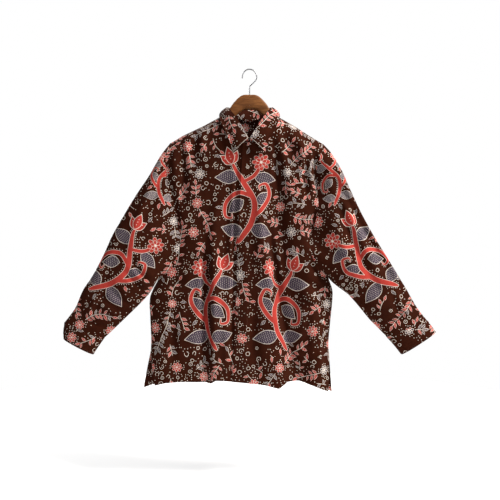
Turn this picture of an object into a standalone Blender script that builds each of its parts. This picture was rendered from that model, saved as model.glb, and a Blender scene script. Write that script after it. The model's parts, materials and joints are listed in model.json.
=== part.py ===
"""A long-sleeved batik shirt hanging on its wooden hanger.

Metres, +Z up. The front of the shirt faces -Y, and "left" and "right" are the
wearer's, so the left sleeve hangs on the +X side. The origin is the inside top
of the hanger's hook, where a rail or a peg holds it, and all else hangs below.
The tables give millimetres, in the same frame.

Each piece of cloth is an open surface with a thin wall. A body panel is lofted
between its inner boundary (neck and centre front) and its outer boundary
(armhole and side seam), and its depth comes from one section of the body.
"""

import math

import bpy
import numpy as np

MM = 0.001

# ----------------------------------------------------------------- dimensions
CLOTH_WALL = 0.0015
COLLAR_WALL = 0.002
SEAM_GAP = 0.0008          # between the two cloth edges of a seam
ARMHOLE_GAP = 0.0006
ARMHOLE_END_GAP = 0.0018   # at the shoulder and the underarm, where three edges meet
NECK_GAP = 0.0012          # the stand's foot above the neckline's cut edge
STAND_INSET = 0.0017       # and inside it
COLLAR_FOLD_GAP = 0.0026   # fold of the collar fall outside the stand
COLLAR_REST = 0.0024       # from the body's cloth out to the fall that lies on it
FRONT_OVERLAP = 0.018      # each front passes the centre front by this much
OVERLAP_LIFT = 0.0030      # how far the upper front lies proud of the lower one
OVERLAP_BLEND = 0.075      # from the leading edge to where that lift ends
SHOULDER_ROUND = 0.060     # height in which the cloth turns over the hanger
BODY_MID_Y = 0.002         # the plane of the side seams

# Stations of the armhole seam as shares of its rows, from the shoulder to the
# underarm. The fronts, the back and the sleeves have their points there.
ARMHOLE_SHARES = (0.0, 0.006, 0.018, 0.04, 0.075, 0.12, 0.2, 0.3, 0.4, 0.5, 0.6, 0.7,
                  0.8, 0.88, 0.94, 0.98, 1.0)
FRONT_COLUMNS = 13
BACK_COLUMNS = 22
ROWS_BELOW_ARM = 12
SLEEVE_ROWS = 14
CUFF_ROWS = 2
COLLAR_COLUMNS = 32
STAND_ROWS = 2
FALL_ROWS = 4

# How the grids crowd toward an edge (1 is evenly spaced) and how far the seams
# at the top reach down into them.
FRONT_CROWDING = 1.5       # toward the armhole and the side seam
BACK_CROWDING = 1.4        # toward both sides
FALL_CROWDING = 1.3        # toward the collar's fold
FRONT_SHOULDER_ROWS = 3.0
BACK_SHOULDER_ROWS = 4.0
OVERLAP_SHOULDER = 0.05    # height over which the upper front's lift sets in
SIDE_FADE = 0.12           # share of the half width in which folds fade at the sides
FOLD_ONSET = 0.35          # share of a fold's length in which it sets in
FOLD_NARROW = 0.75         # its width at the top, as a share of the middle's
FOLD_WIDENING = 0.5        # and how much that grows to the bottom

WOOD_SIDES = 12
WOOD_STATIONS = 18
WOOD_SQUARE = 0.5          # power of the section's rounding, 1 is an ellipse
WOOD_JOINT_GAP = 0.0003
WOOD_CLEARANCE = 0.0021    # from the middle of the cloth down to the wood
HOOK_WIRE_RADIUS = 0.0017
HOOK_RADIUS = 0.020        # centre line of the hook's round
HOOK_START_ANGLE = -50.0   # degrees, where the round leaves the stem
HOOK_END_ANGLE = 195.0
HOOK_STEM_TOP = -0.046
HOOK_STEPS = 20
HOOK_SOCKET_GAP = 0.0003
WOOD_TOP = -0.070

# --------------------------------------------------------------------- tables
# Section of the body at each height: the edges seen from the front, how far it
# stands out before and behind the side seams, and how square its sides are.
BODY_SECTIONS = {
    "columns": ("z", "left_edge", "right_edge", "front", "back", "power"),
    "rows": (
        (-900, -302, 236, 33, 29, 6.0),
        (-860, -292, 230, 33, 29, 6.0),
        (-800, -279, 223, 33, 29, 6.0),
        (-760, -274, 220, 32, 28, 6.0),
        (-700, -275, 225, 31, 28, 6.0),
        (-640, -278, 231, 30, 27, 6.0),
        (-615, -270, 231, 30, 27, 6.0),
        (-580, -252, 220, 30, 27, 5.5),
        (-540, -262, 232, 31, 28, 4.5),
        (-480, -280, 252, 33, 29, 3.5),
        (-400, -294, 274, 35, 30, 3.0),
        (-300, -300, 286, 38, 32, 2.6),
        (-211, -300, 290, 42, 36, 2.4),
        (-100, -300, 290, 42, 38, 2.4),
    ),
}

# The line on which the cloth lies over the hanger.
SHOULDER_LINE = {
    "columns": ("x", "z"),
    "rows": (
        (-219, -204),
        (-188, -185),
        (-127, -156),
        (-85, -133),
        (-68, -126),
        (0, -112),
        (68, -126),
        (85, -134),
        (124, -156),
        (160, -180),
        (205, -207),
        (219, -217),
    ),
}

# Centre front, which hangs a little off the vertical.
CENTRE_TOP_Z = -0.190
CENTRE_HEM_Z = -0.879
CENTRE_HEM_X = -0.029

# Each body panel, from the shoulder to the hem. A corner row ends one smooth
# stretch of the boundary and begins the next.
RIGHT_FRONT = {
    "underarm": 9,
    "columns": ("inner_x", "inner_z", "outer_x", "outer_z", "corner"),
    "rows": (
        (-68, -126, -219, -204, 1),
        (-64, -148, -228, -235, 0),
        (-49, -180, -230, -272, 0),
        (-24, -204, -227, -312, 0),
        (18, -211, -218, -352, 1),
        (15, -270, -203, -405, 0),
        (12, -345, -191, -462, 0),
        (8, -430, -197, -512, 0),
        (5, -505, -222, -556, 0),
        (3, -560, -252, -580, 1),
        (1, -615, -270, -615, 0),
        (-1, -650, -278, -650, 0),
        (-5, -760, -274, -760, 0),
        (-6, -787, -274, -787, 1),
        (-11, -877, -261, -878, 1),
    ),
}
LEFT_FRONT = {
    "underarm": 9,
    "columns": ("inner_x", "inner_z", "outer_x", "outer_z", "corner"),
    "rows": (
        (68, -126, 205, -207, 1),
        (64, -148, 196, -236, 0),
        (49, -180, 187, -272, 0),
        (24, -204, 186, -312, 0),
        (-18, -211, 189, -352, 1),
        (-21, -270, 189, -392, 0),
        (-25, -345, 176, -446, 0),
        (-29, -430, 165, -488, 0),
        (-32, -505, 180, -538, 0),
        (-34, -560, 220, -580, 1),
        (-36, -615, 231, -615, 0),
        (-38, -650, 230, -650, 0),
        (-42, -760, 220, -760, 0),
        (-43, -795, 222, -795, 1),
        (-47, -876, 217, -892, 1),
    ),
}
BACK = {
    "underarm": 7,
    "columns": ("right_x", "right_z", "left_x", "left_z", "corner"),
    "rows": (
        (-219, -204, 205, -207, 1),
        (-224, -250, 211, -250, 0),
        (-223, -320, 212, -320, 0),
        (-217, -400, 206, -400, 0),
        (-211, -460, 199, -460, 0),
        (-213, -515, 199, -515, 0),
        (-229, -556, 207, -556, 0),
        (-252, -580, 220, -580, 1),
        (-270, -615, 231, -615, 0),
        (-278, -650, 230, -650, 0),
        (-274, -760, 220, -760, 0),
        (-277, -790, 222, -795, 0),
        (-297, -888, 231, -900, 1),
    ),
}
BACK_NECK_HALF = 0.068
BACK_NECK_SIDE_Z = -0.126
BACK_NECK_CENTRE_Z = -0.137

# The hems, which dip where the cloth bellies out between the folds.
HEM_COLUMNS = ("x", "z")
FRONT_HEM = {
    "columns": HEM_COLUMNS,
    "rows": (
        (-261, -876),
        (-230, -868),
        (-190, -865),
        (-118, -866),
        (-107, -869),
        (-92, -860),
        (-20, -866),
        (45, -873),
        (82, -882),
        (104, -865),
        (138, -864),
        (175, -875),
        (217, -893),
    ),
}
BACK_HEM = {
    "columns": HEM_COLUMNS,
    "rows": (
        (-297, -888),
        (-262, -879),
        (-200, -868),
        (0, -866),
        (120, -868),
        (180, -878),
        (231, -900),
    ),
}

# Large folds of the body: a trough has a negative depth, a ridge a positive one.
# They run down from z_top, through three places across, and fade in there.
FRONT_FOLDS = {
    "columns": ("x_top", "x_middle", "x_low", "z_top", "z_low", "half_width", "depth"),
    "rows": (
        (64, 92, 136, -200, -890, 26, -17),
        (30, 40, 78, -300, -900, 30, 9),
        (150, 165, 184, -420, -900, 24, 8),
        (-119, -119, -124, -440, -900, 15, -12),
        (-96, -94, -108, -430, -900, 20, 8),
        (-186, -192, -200, -300, -520, 16, -5),
        (-190, -196, -205, -620, -900, 26, 5),
        (-150, -160, -172, -560, -900, 18, -5),
    ),
}
BACK_FOLDS = {
    "columns": ("x_top", "x_middle", "x_low", "z_top", "z_low", "half_width", "depth"),
    "rows": (
        (-110, -130, -150, -260, -900, 26, -13),
        (-60, -72, -84, -320, -900, 26, 8),
        (86, 98, 112, -240, -900, 24, -15),
        (130, 146, 160, -420, -900, 22, 7),
        (10, 2, -12, -420, -900, 24, -7),
        (44, 46, 48, -520, -900, 20, 6),
        (-190, -205, -222, -500, -900, 20, -6),
    ),
}

# Rings of each sleeve from the armhole to the cuff: the two edges seen from the
# front, the middle of the ring and half its thickness.
SLEEVE_COLUMNS = ("outer_x", "outer_z", "inner_x", "inner_z", "middle", "half")
RIGHT_SLEEVE = {
    "columns": SLEEVE_COLUMNS,
    "rows": (
        (-219, -204, -252, -580, 0, 27),
        (-245, -240, -259, -592, -10, 26),
        (-278, -299, -266, -605, -17, 25),
        (-311, -349, -272, -616, -21, 24),
        (-343, -403, -281, -628, -23, 23),
        (-375, -458, -295, -643, -23, 22),
        (-404, -521, -314, -662, -22, 21),
        (-431, -571, -336, -683, -20, 20),
        (-459, -613, -358, -704, -18, 19),
        (-481, -662, -381, -726, -16, 18),
        (-512, -704, -404, -747, -14, 16),
    ),
}
LEFT_SLEEVE = {
    "columns": SLEEVE_COLUMNS,
    "rows": (
        (205, -207, 220, -580, 0, 27),
        (229, -238, 228, -590, -12, 27),
        (255, -285, 237, -598, -20, 27),
        (281, -346, 246, -605, -25, 26),
        (310, -407, 257, -613, -27, 25),
        (342, -465, 271, -624, -27, 24),
        (380, -526, 290, -644, -25, 22),
        (408, -571, 311, -669, -23, 21),
        (436, -617, 332, -694, -20, 20),
        (464, -664, 356, -718, -17, 18),
        (493, -700, 380, -742, -15, 16),
    ),
}
ARMHOLE_RINGS = 4.0        # rings in which the armhole's curve fades out
RING_SQUARE = 2.4          # how flat a sleeve's faces are
SEAM_STEP = 0.02           # rows looked ahead and back for the seam's direction

CUFF_COLUMNS = ("outer_x", "outer_z", "inner_x", "inner_z", "middle", "half")
RIGHT_CUFF = {
    "columns": CUFF_COLUMNS,
    "rows": (
        (-513.5, -705, -404.5, -748, -14, 16),
        (-515, -727, -418, -769, -14, 16),
        (-514, -748, -432, -791, -14, 17),
    ),
}
LEFT_CUFF = {
    "columns": CUFF_COLUMNS,
    "rows": (
        (493.6, -701, 380.8, -742.8, -15, 16),
        (505, -715, 401, -767, -15, 16),
        (515, -729, 420, -791, -15, 17),
    ),
}

# The button behind each cuff: its place along the cuff in rows, and across it.
CUFF_BUTTON_ROW = 1.0
CUFF_BUTTON_SHARE = 0.36
BUTTON_RADIUS = 0.0055
BUTTON_THICKNESS = 0.0026
BUTTON_SIDES = 20
BUTTON_CLEARANCE = 0.0006  # from the cloth's face out to the button's back

# Long soft folds of the sleeves: the face they lie on (-1 in front), where they
# start and end along the sleeve in rings and across it as a share of its width.
SLEEVE_FOLD_COLUMNS = ("face", "ring_start", "ring_end", "share_start", "share_end",
                       "half_width", "depth")
RIGHT_SLEEVE_FOLDS = {
    "columns": SLEEVE_FOLD_COLUMNS,
    "rows": (
        (-1, 1.0, 6.5, 0.62, 0.52, 0.09, -5),
        (-1, 4.5, 9.5, 0.34, 0.46, 0.10, -4),
        (1, 1.0, 7.0, 0.60, 0.48, 0.10, -5),
        (1, 5.0, 9.5, 0.34, 0.50, 0.10, -4),
    ),
}
LEFT_SLEEVE_FOLDS = {
    "columns": SLEEVE_FOLD_COLUMNS,
    "rows": (
        (-1, 0.6, 7.5, 0.26, 0.55, 0.09, -9),
        (-1, 0.8, 5.0, 0.52, 0.70, 0.08, 5),
        (-1, 5.0, 9.6, 0.30, 0.42, 0.09, -4),
        (1, 1.0, 7.0, 0.58, 0.45, 0.10, -6),
        (1, 5.0, 9.5, 0.38, 0.50, 0.10, -4),
    ),
}

# Half of the collar from the front end to the centre back: the neck seam, the
# fold on top of the stand, and the free edge of the fall. From the front end to
# the shoulder row the neck seam is on the fronts, and behind it on the back.
COLLAR = {
    "shoulder": 4,
    "columns": ("neck_x", "neck_z", "fold_x", "fold_y", "fold_z", "edge_x", "edge_y", "edge_z"),
    "rows": (
        (0.6, -206.5, 1.6, -49, -189, 45, -47, -235),
        (24, -201, 12, -50, -175, 54, -46, -205),
        (49, -180, 31, -46, -148, 68, -39, -176),
        (64, -148, 49, -33, -123, 79, -24, -151),
        (68, -126, 60, -8, -107, 84, -3, -129),
        (60, -128, 57, 20, -101, 76, 32, -136),
        (36, -134, 35, 40, -98, 46, 50, -144),
        (0, -137, 0, 47, -97, 0, 57, -145),
    ),
}
FALL_BULGE = 0.006

# Half of the wooden hanger, from the joint in the middle to the tip. The arm
# rests under the shoulder line where under_cloth is 1.
HANGER_ARM = {
    "columns": ("out", "top", "depth", "half_thickness", "under_cloth"),
    "rows": (
        (0, -70, 42, 7.5, 0),
        (15, -70, 42, 7.5, 0),
        (27, -75, 44, 7.5, 0),
        (40, -87, 44, 7.5, 0),
        (51, -101, 39, 7.5, 0),
        (60, -119, 31, 7.5, 0),
        (69, -132, 31, 7.5, 0),
        (88, -138, 33, 7.5, 1),
        (125, -157, 34, 7.5, 1),
        (165, -180, 31, 7.0, 1),
        (196, -196, 27, 6.5, 1),
        (205, -203, 18, 5.0, 1),
    ),
}

MATERIALS = {
    "batik cloth": ((0.085, 0.030, 0.020), 0.85, 0.0),
    "hanger wood dark": ((0.150, 0.060, 0.025), 0.45, 0.0),
    "hanger wood light": ((0.240, 0.100, 0.040), 0.45, 0.0),
    "hook steel": ((0.600, 0.600, 0.590), 0.25, 1.0),
    "button": ((0.045, 0.022, 0.016), 0.35, 0.0),
}


# -------------------------------------------------------------------- helpers
def column(table, name):
    """One column of a table as an array, as the table gives it."""
    index = table["columns"].index(name)
    return np.array([row[index] for row in table["rows"]], dtype=float)


def smooth_curve(knots, values, at, corners=None):
    """A cubic through the knots, with its slope free to jump at each corner."""
    at = np.clip(np.asarray(at, dtype=float), knots[0], knots[-1])
    slopes = np.diff(values) / np.diff(knots)
    before = np.concatenate(([slopes[0]], slopes))
    after = np.concatenate((slopes, [slopes[-1]]))
    middle = 0.5 * (before + after)
    if corners is not None:
        leaving = np.where(corners > 0, after, middle)
        arriving = np.where(corners > 0, before, middle)
    else:
        leaving = middle
        arriving = middle
    i = np.clip(np.searchsorted(knots, at, side="right") - 1, 0, len(knots) - 2)
    step = knots[i + 1] - knots[i]
    u = (at - knots[i]) / step
    rise = values[i + 1] - values[i]
    straight = values[i] + rise * u
    bend_out = (leaving[i] * step - rise) * u * (1 - u) ** 2
    bend_in = (rise - arriving[i + 1] * step) * u ** 2 * (1 - u)
    return straight + bend_out + bend_in


def by_row(table, name, at):
    """A column in metres at a place between rows, counted in rows."""
    values = column(table, name) * MM
    corners = column(table, "corner") if "corner" in table["columns"] else None
    return smooth_curve(np.arange(len(values), dtype=float), values, at, corners)


def smoothstep(value):
    value = np.clip(value, 0.0, 1.0)
    return value * value * (3.0 - 2.0 * value)


# ----------------------------------------------------------- form of the body
def section(name, z):
    return smooth_curve(column(BODY_SECTIONS, "z") * MM, column(BODY_SECTIONS, name), z)


def shoulder_z(x):
    return np.interp(x, column(SHOULDER_LINE, "x") * MM, column(SHOULDER_LINE, "z") * MM)


def centre_x(z):
    """Where the centre front lies at each height."""
    return CENTRE_HEM_X * (CENTRE_TOP_Z - z) / (CENTRE_TOP_Z - CENTRE_HEM_Z)


def fold_height(folds, x, z):
    """How far the large folds lift or sink the cloth at a place."""
    total = np.zeros_like(x)
    for row in folds["rows"]:
        x_top, x_middle, x_low, z_top, z_low, half_width, depth = (MM * v for v in row)
        down = np.clip((z_top - z) / (z_top - z_low), 0.0, 1.0)
        bend = x_middle - 0.5 * (x_top + x_low)
        across = x - (x_top + (x_low - x_top) * down + 4.0 * bend * down * (1.0 - down))
        widen = half_width * (FOLD_NARROW + FOLD_WIDENING * down)
        strength = smoothstep(down / FOLD_ONSET)
        total = total + depth * strength * np.exp(-(across / widen) ** 2)
    return total


def body_surface(x, z, side):
    """Depth of the middle of the cloth: side is -1 before the side seams, +1 behind."""
    left = section("left_edge", z) * MM
    right = section("right_edge", z) * MM
    reach = section("front" if side < 0 else "back", z) * MM
    across = np.clip(np.abs(2.0 * x - left - right) / (right - left), 0.0, 1.0)
    square = np.sqrt(1.0 - across ** section("power", z))
    below = np.clip((shoulder_z(x) - z) / SHOULDER_ROUND, 0.0, 1.0)
    turn = np.sqrt(1.0 - (1.0 - below) ** 2)
    folds = fold_height(FRONT_FOLDS if side < 0 else BACK_FOLDS, x, z)
    edge_fade = smoothstep((1.0 - across) / SIDE_FADE)
    return BODY_MID_Y + side * (0.5 * SEAM_GAP + square * turn * reach + folds * edge_fade * turn)


# --------------------------------------------------------------- cloth panels
def row_places(table):
    """Where a body panel's grid rows lie in its table, matched to the armhole's stations."""
    underarm = underarm_row(table)
    last = len(table["rows"]) - 1.0
    beside_arm = underarm * np.array(ARMHOLE_SHARES)
    below_arm = np.linspace(underarm, last, ROWS_BELOW_ARM + 1)[1:]
    return np.concatenate((beside_arm, below_arm))[:, None]


def underarm_row(table):
    """The row where a panel's armhole ends and its side seam begins."""
    return float(table["underarm"])


def hem_shift(table, hem, x, z, down):
    """How far the cloth near the hem moves down for the hem's own line to be met."""
    last = len(table["rows"]) - 1.0
    line = np.interp(x[-1:], column(hem, "x") * MM, column(hem, "z") * MM)
    return (line - z[-1:]) * smoothstep(down - (last - 1.0))


def front_points(table, sign, columns):
    """Grid of a front: sign is -1 for the wearer's right, +1 for the left."""
    down = row_places(table)
    out = 1.0 - (1.0 - np.linspace(0.0, 1.0, columns + 1)[None, :]) ** FRONT_CROWDING
    inner_x = by_row(table, "inner_x", down)
    inner_z = by_row(table, "inner_z", down)
    outer_x = by_row(table, "outer_x", down)
    outer_z = by_row(table, "outer_z", down)
    x = inner_x + (outer_x - inner_x) * out
    z = inner_z + (outer_z - inner_z) * out
    seam = shoulder_z(x) - (shoulder_z(inner_x) + (shoulder_z(outer_x) - shoulder_z(inner_x)) * out)
    z = z + seam * (1.0 - smoothstep(down / FRONT_SHOULDER_ROWS))
    z = z + hem_shift(table, FRONT_HEM, x, z, down)
    y = body_surface(x, z, -1)
    if sign > 0:
        reach = (x - centre_x(z) + FRONT_OVERLAP) / OVERLAP_BLEND
        lift = OVERLAP_LIFT * (1.0 - smoothstep((reach - 0.6) / 0.4))
        y = y - lift * smoothstep((shoulder_z(x) - z) / OVERLAP_SHOULDER)
    return np.stack([x, y, z], axis=-1)


def back_points(columns):
    """Grid of the back, from the wearer's right to the left."""
    down = row_places(BACK)
    turn = np.linspace(-1.0, 1.0, columns + 1)[None, :]
    across = np.sign(turn) * (1.0 - (1.0 - np.abs(turn)) ** BACK_CROWDING)
    right_x = by_row(BACK, "right_x", down)
    right_z = by_row(BACK, "right_z", down)
    left_x = by_row(BACK, "left_x", down)
    left_z = by_row(BACK, "left_z", down)
    x = 0.5 * (right_x + left_x) + 0.5 * (left_x - right_x) * across
    z = 0.5 * (right_z + left_z) + 0.5 * (left_z - right_z) * across
    neck_drop = np.clip(1.0 - (x / BACK_NECK_HALF) ** 2, 0.0, 1.0)
    neck_z = BACK_NECK_SIDE_Z + (BACK_NECK_CENTRE_Z - BACK_NECK_SIDE_Z) * neck_drop
    top_z = np.where(np.abs(x) < BACK_NECK_HALF, neck_z, shoulder_z(x))
    straight_top = 0.5 * (right_z[0] + left_z[0]) + 0.5 * (left_z[0] - right_z[0]) * across
    z = z + (top_z - straight_top) * (1.0 - smoothstep(down / BACK_SHOULDER_ROWS))
    z = z + hem_shift(BACK, BACK_HEM, x, z, down)
    y = body_surface(x, z, 1)
    return np.stack([x, y, z], axis=-1)


def armhole(table, edge, sign, share, side):
    """A point of the sleeve's seam: share runs from the shoulder to the underarm."""
    last = underarm_row(table)
    at = share * last
    x = by_row(table, edge + "_x", at)
    z = by_row(table, edge + "_z", at)
    ahead = np.minimum(at + SEAM_STEP, last)
    behind = np.maximum(at - SEAM_STEP, 0.0)
    along_x = by_row(table, edge + "_x", ahead) - by_row(table, edge + "_x", behind)
    along_z = by_row(table, edge + "_z", ahead) - by_row(table, edge + "_z", behind)
    length = np.hypot(along_x, along_z)
    y = body_surface(x, z, side)
    gap = ARMHOLE_GAP + (ARMHOLE_END_GAP - ARMHOLE_GAP) * (2.0 * share - 1.0) ** 8
    return (x - sign * gap * along_z / length,
            y,
            z + sign * gap * along_x / length)


def ring_stations():
    """Stations around a sleeve: shares across it, and -1 in front or +1 behind."""
    front = np.array(ARMHOLE_SHARES)
    behind = front[-2:0:-1]
    shares = np.concatenate((front, behind))[None, :]
    sides = np.concatenate((-np.ones_like(front), np.ones_like(behind)))[None, :]
    return shares, sides


def ring_points(table, at, share, side):
    """Points of a flat ring: share runs across it from its outer to its inner edge."""
    flat = 1.0 - 2.0 * share
    thick = (1.0 - np.abs(flat) ** RING_SQUARE) ** 0.5
    outer_x = by_row(table, "outer_x", at)
    outer_z = by_row(table, "outer_z", at)
    inner_x = by_row(table, "inner_x", at)
    inner_z = by_row(table, "inner_z", at)
    x = outer_x + (inner_x - outer_x) * share
    z = outer_z + (inner_z - outer_z) * share
    y = by_row(table, "middle", at) + side * by_row(table, "half", at) * thick
    return x, y, z


def sleeve_folds(folds, at, share, side):
    """How far the long folds lift or sink a sleeve's cloth, outward."""
    total = np.zeros(np.broadcast(at, share).shape)
    for face, start, end, share_start, share_end, half_width, depth in folds["rows"]:
        along = np.clip((at - start) / (end - start), 0.0, 1.0)
        across = share - (share_start + (share_end - share_start) * along)
        strength = np.sin(math.pi * along) * (side == face)
        total = total + MM * depth * strength * np.exp(-(across / half_width) ** 2)
    return total


def sleeve_points(table, folds, front_table, back_edge, sign):
    """Grid of a sleeve: closed around, open at the armhole and at the cuff."""
    at = np.linspace(0.0, len(table["rows"]) - 1.0, SLEEVE_ROWS + 1)[:, None]
    share, side = ring_stations()
    x, y, z = ring_points(table, at, share, side)
    y = y + side * sleeve_folds(folds, at, share, side)
    first = ring_points(table, np.zeros((1, 1)), share, side)
    front = armhole(front_table, "outer", sign, share, -1)
    back = armhole(BACK, back_edge, sign, share, 1)
    seam = [np.where(side < 0, f, b) for f, b in zip(front, back)]
    fade = np.clip(1.0 - at / ARMHOLE_RINGS, 0.0, 1.0) ** 2
    x = x + fade * (seam[0] - first[0])
    y = y + fade * (seam[1] - first[1])
    z = z + fade * (seam[2] - first[2])
    return np.stack([x, y, z], axis=-1)


def cuff_points(table):
    at = np.linspace(0.0, len(table["rows"]) - 1.0, CUFF_ROWS + 1)[:, None]
    share, side = ring_stations()
    return np.stack(ring_points(table, at, share, side), axis=-1)


# --------------------------------------------------------------------- collar
def collar_lines(columns):
    """The collar's neck seam, fold and free edge, from one front end to the other."""
    last = len(COLLAR["rows"]) - 1
    turn = np.linspace(-1.0, 1.0, columns + 1)
    at = last * (1.0 - np.abs(turn))
    sign = np.where(turn < 0.0, -1.0, 1.0)
    knots = np.arange(last + 1, dtype=float)
    value = {}
    for name in COLLAR["columns"]:
        value[name] = smooth_curve(knots, column(COLLAR, name) * MM, at)
    neck_x = sign * value["neck_x"]
    front_y = body_surface(neck_x, value["neck_z"], -1)
    back_y = body_surface(neck_x, value["neck_z"], 1)
    neck_y = np.where(at <= COLLAR["shoulder"], front_y, back_y)
    neck = np.stack([neck_x, neck_y, value["neck_z"]], axis=-1)
    fold = np.stack([sign * value["fold_x"], value["fold_y"], value["fold_z"]], axis=-1)
    edge = np.stack([sign * value["edge_x"], value["edge_y"], value["edge_z"]], axis=-1)
    return neck, fold, edge


def outward(points):
    """Unit directions away from the neck's axis, level with the ground."""
    away = points * np.array([1.0, 1.0, 0.0])
    return away / np.linalg.norm(away, axis=-1, keepdims=True)


def stand_points(columns, rows):
    neck, fold, _ = collar_lines(columns)
    foot = neck - outward(neck) * STAND_INSET + np.array([0.0, 0.0, NECK_GAP])
    up = np.linspace(0.0, 1.0, rows + 1)[:, None, None]
    return foot + (fold - foot) * up


def fall_points(columns, rows):
    _, fold, edge = collar_lines(columns)
    top = fold + outward(fold) * COLLAR_FOLD_GAP
    down = np.linspace(0.0, 1.0, rows + 1)[:, None, None] ** FALL_CROWDING
    bulge = 4.0 * FALL_BULGE * down * (1.0 - down)
    points = top + (edge - top) * down + outward(fold) * bulge
    x, y, z = np.moveaxis(points, -1, 0)
    over_front = np.minimum(y, body_surface(x, z, -1) - OVERLAP_LIFT - COLLAR_REST)
    over_back = np.maximum(y, body_surface(x, z, 1) + COLLAR_REST)
    on_body = z < shoulder_z(x)
    y = np.where(on_body & (y < BODY_MID_Y), over_front, np.where(on_body, over_back, y))
    return np.stack([x, y, z], axis=-1)


# ------------------------------------------------------------------ mesh work
def material(name):
    colour, roughness, metallic = MATERIALS[name]
    found = bpy.data.materials.get(name)
    if found is None:
        found = bpy.data.materials.new(name)
        found.use_nodes = True
        shader = found.node_tree.nodes["Principled BSDF"]
        shader.inputs["Base Color"].default_value = (*colour, 1.0)
        shader.inputs["Roughness"].default_value = roughness
        shader.inputs["Metallic"].default_value = metallic
    return found


def grid_object(name, points, closed_around, material_name, collection):
    """An open surface over a grid of points, with its material."""
    rows, columns = points.shape[:2]
    spans = columns if closed_around else columns - 1
    faces = []
    for row in range(rows - 1):
        for span in range(spans):
            here = row * columns + span
            after = row * columns + (span + 1) % columns
            faces.append((here, after, after + columns, here + columns))
    mesh = bpy.data.meshes.new(name)
    mesh.from_pydata(points.reshape(-1, 3).tolist(), [], faces)
    mesh.update()
    mesh.shade_smooth()
    mesh.materials.append(material(material_name))
    item = bpy.data.objects.new(name, mesh)
    collection.objects.link(item)
    return item


def add_wall(item, thickness):
    """Give an open surface its thickness, half on each side."""
    wall = item.modifiers.new("wall", "SOLIDIFY")
    wall.thickness = thickness
    wall.offset = 0.0
    return item


def build_cloth(collection):
    panels = (
        ("front_right", front_points(RIGHT_FRONT, -1, FRONT_COLUMNS), False),
        ("front_left", front_points(LEFT_FRONT, 1, FRONT_COLUMNS), False),
        ("back", back_points(BACK_COLUMNS), False),
        ("sleeve_right", sleeve_points(RIGHT_SLEEVE, RIGHT_SLEEVE_FOLDS, RIGHT_FRONT, "right", -1), True),
        ("sleeve_left", sleeve_points(LEFT_SLEEVE, LEFT_SLEEVE_FOLDS, LEFT_FRONT, "left", 1), True),
        ("cuff_right", cuff_points(RIGHT_CUFF), True),
        ("cuff_left", cuff_points(LEFT_CUFF), True),
    )
    for name, points, closed in panels:
        add_wall(grid_object(name, points, closed, "batik cloth", collection), CLOTH_WALL)
    stand = grid_object("collar_stand", stand_points(COLLAR_COLUMNS, STAND_ROWS), False,
                        "batik cloth", collection)
    add_wall(stand, COLLAR_WALL)
    fall = grid_object("collar_fall", fall_points(COLLAR_COLUMNS, FALL_ROWS), False,
                       "batik cloth", collection)
    add_wall(fall, COLLAR_WALL)


def build_cuff_button(name, table, collection):
    """A flat round button on the back face of a cuff."""
    seat = ring_points(table, np.array([CUFF_BUTTON_ROW]), np.array([CUFF_BUTTON_SHARE]), 1)
    x, y, z = (float(value[0]) for value in seat)
    lift = 0.5 * CLOTH_WALL + BUTTON_CLEARANCE + 0.5 * BUTTON_THICKNESS
    bpy.ops.mesh.primitive_cylinder_add(vertices=BUTTON_SIDES, radius=BUTTON_RADIUS,
                                        depth=BUTTON_THICKNESS, location=(x, y + lift, z),
                                        rotation=(math.radians(90.0), 0.0, 0.0))
    button = bpy.context.active_object
    button.name = name
    button.data.name = name
    button.data.materials.append(material("button"))
    for owner in list(button.users_collection):
        owner.objects.unlink(button)
    collection.objects.link(button)
    return button


# --------------------------------------------------------------------- hanger
def build_arm(name, sign, material_name, collection):
    """One half of the wooden hanger: rings of a rounded section along the arm."""
    last = len(HANGER_ARM["rows"]) - 1
    at = np.linspace(0.0, last, WOOD_STATIONS + 1)[:, None]
    out = by_row(HANGER_ARM, "out", at) + WOOD_JOINT_GAP * 0.5 * (at == 0.0)
    depth = by_row(HANGER_ARM, "depth", at)
    half = by_row(HANGER_ARM, "half_thickness", at)
    under = by_row(HANGER_ARM, "under_cloth", at) / MM
    free_top = by_row(HANGER_ARM, "top", at)
    top = free_top + under * (shoulder_z(sign * out) - WOOD_CLEARANCE - free_top)
    angle = np.linspace(0.0, 2.0 * math.pi, WOOD_SIDES, endpoint=False)[None, :]
    across = np.sign(np.sin(angle)) * np.abs(np.sin(angle)) ** WOOD_SQUARE
    up = np.sign(np.cos(angle)) * np.abs(np.cos(angle)) ** WOOD_SQUARE
    x = sign * out + np.zeros_like(angle)
    y = half * across
    z = top - 0.5 * depth + 0.5 * depth * up
    points = np.stack([x, y, z], axis=-1)
    if sign > 0:
        points = points[:, ::-1]
    arm = grid_object(name, points, True, material_name, collection)
    close_ends(arm, points.shape)
    return arm


def close_ends(item, shape):
    """Cap both ends of a closed loft."""
    rows, columns = shape[:2]
    mesh = item.data
    vertices = [tuple(v.co) for v in mesh.vertices]
    faces = [tuple(p.vertices) for p in mesh.polygons]
    faces.append(tuple(reversed(range(columns))))
    faces.append(tuple(range((rows - 1) * columns, rows * columns)))
    mesh.clear_geometry()
    mesh.from_pydata(vertices, [], faces)
    mesh.update()


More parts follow.
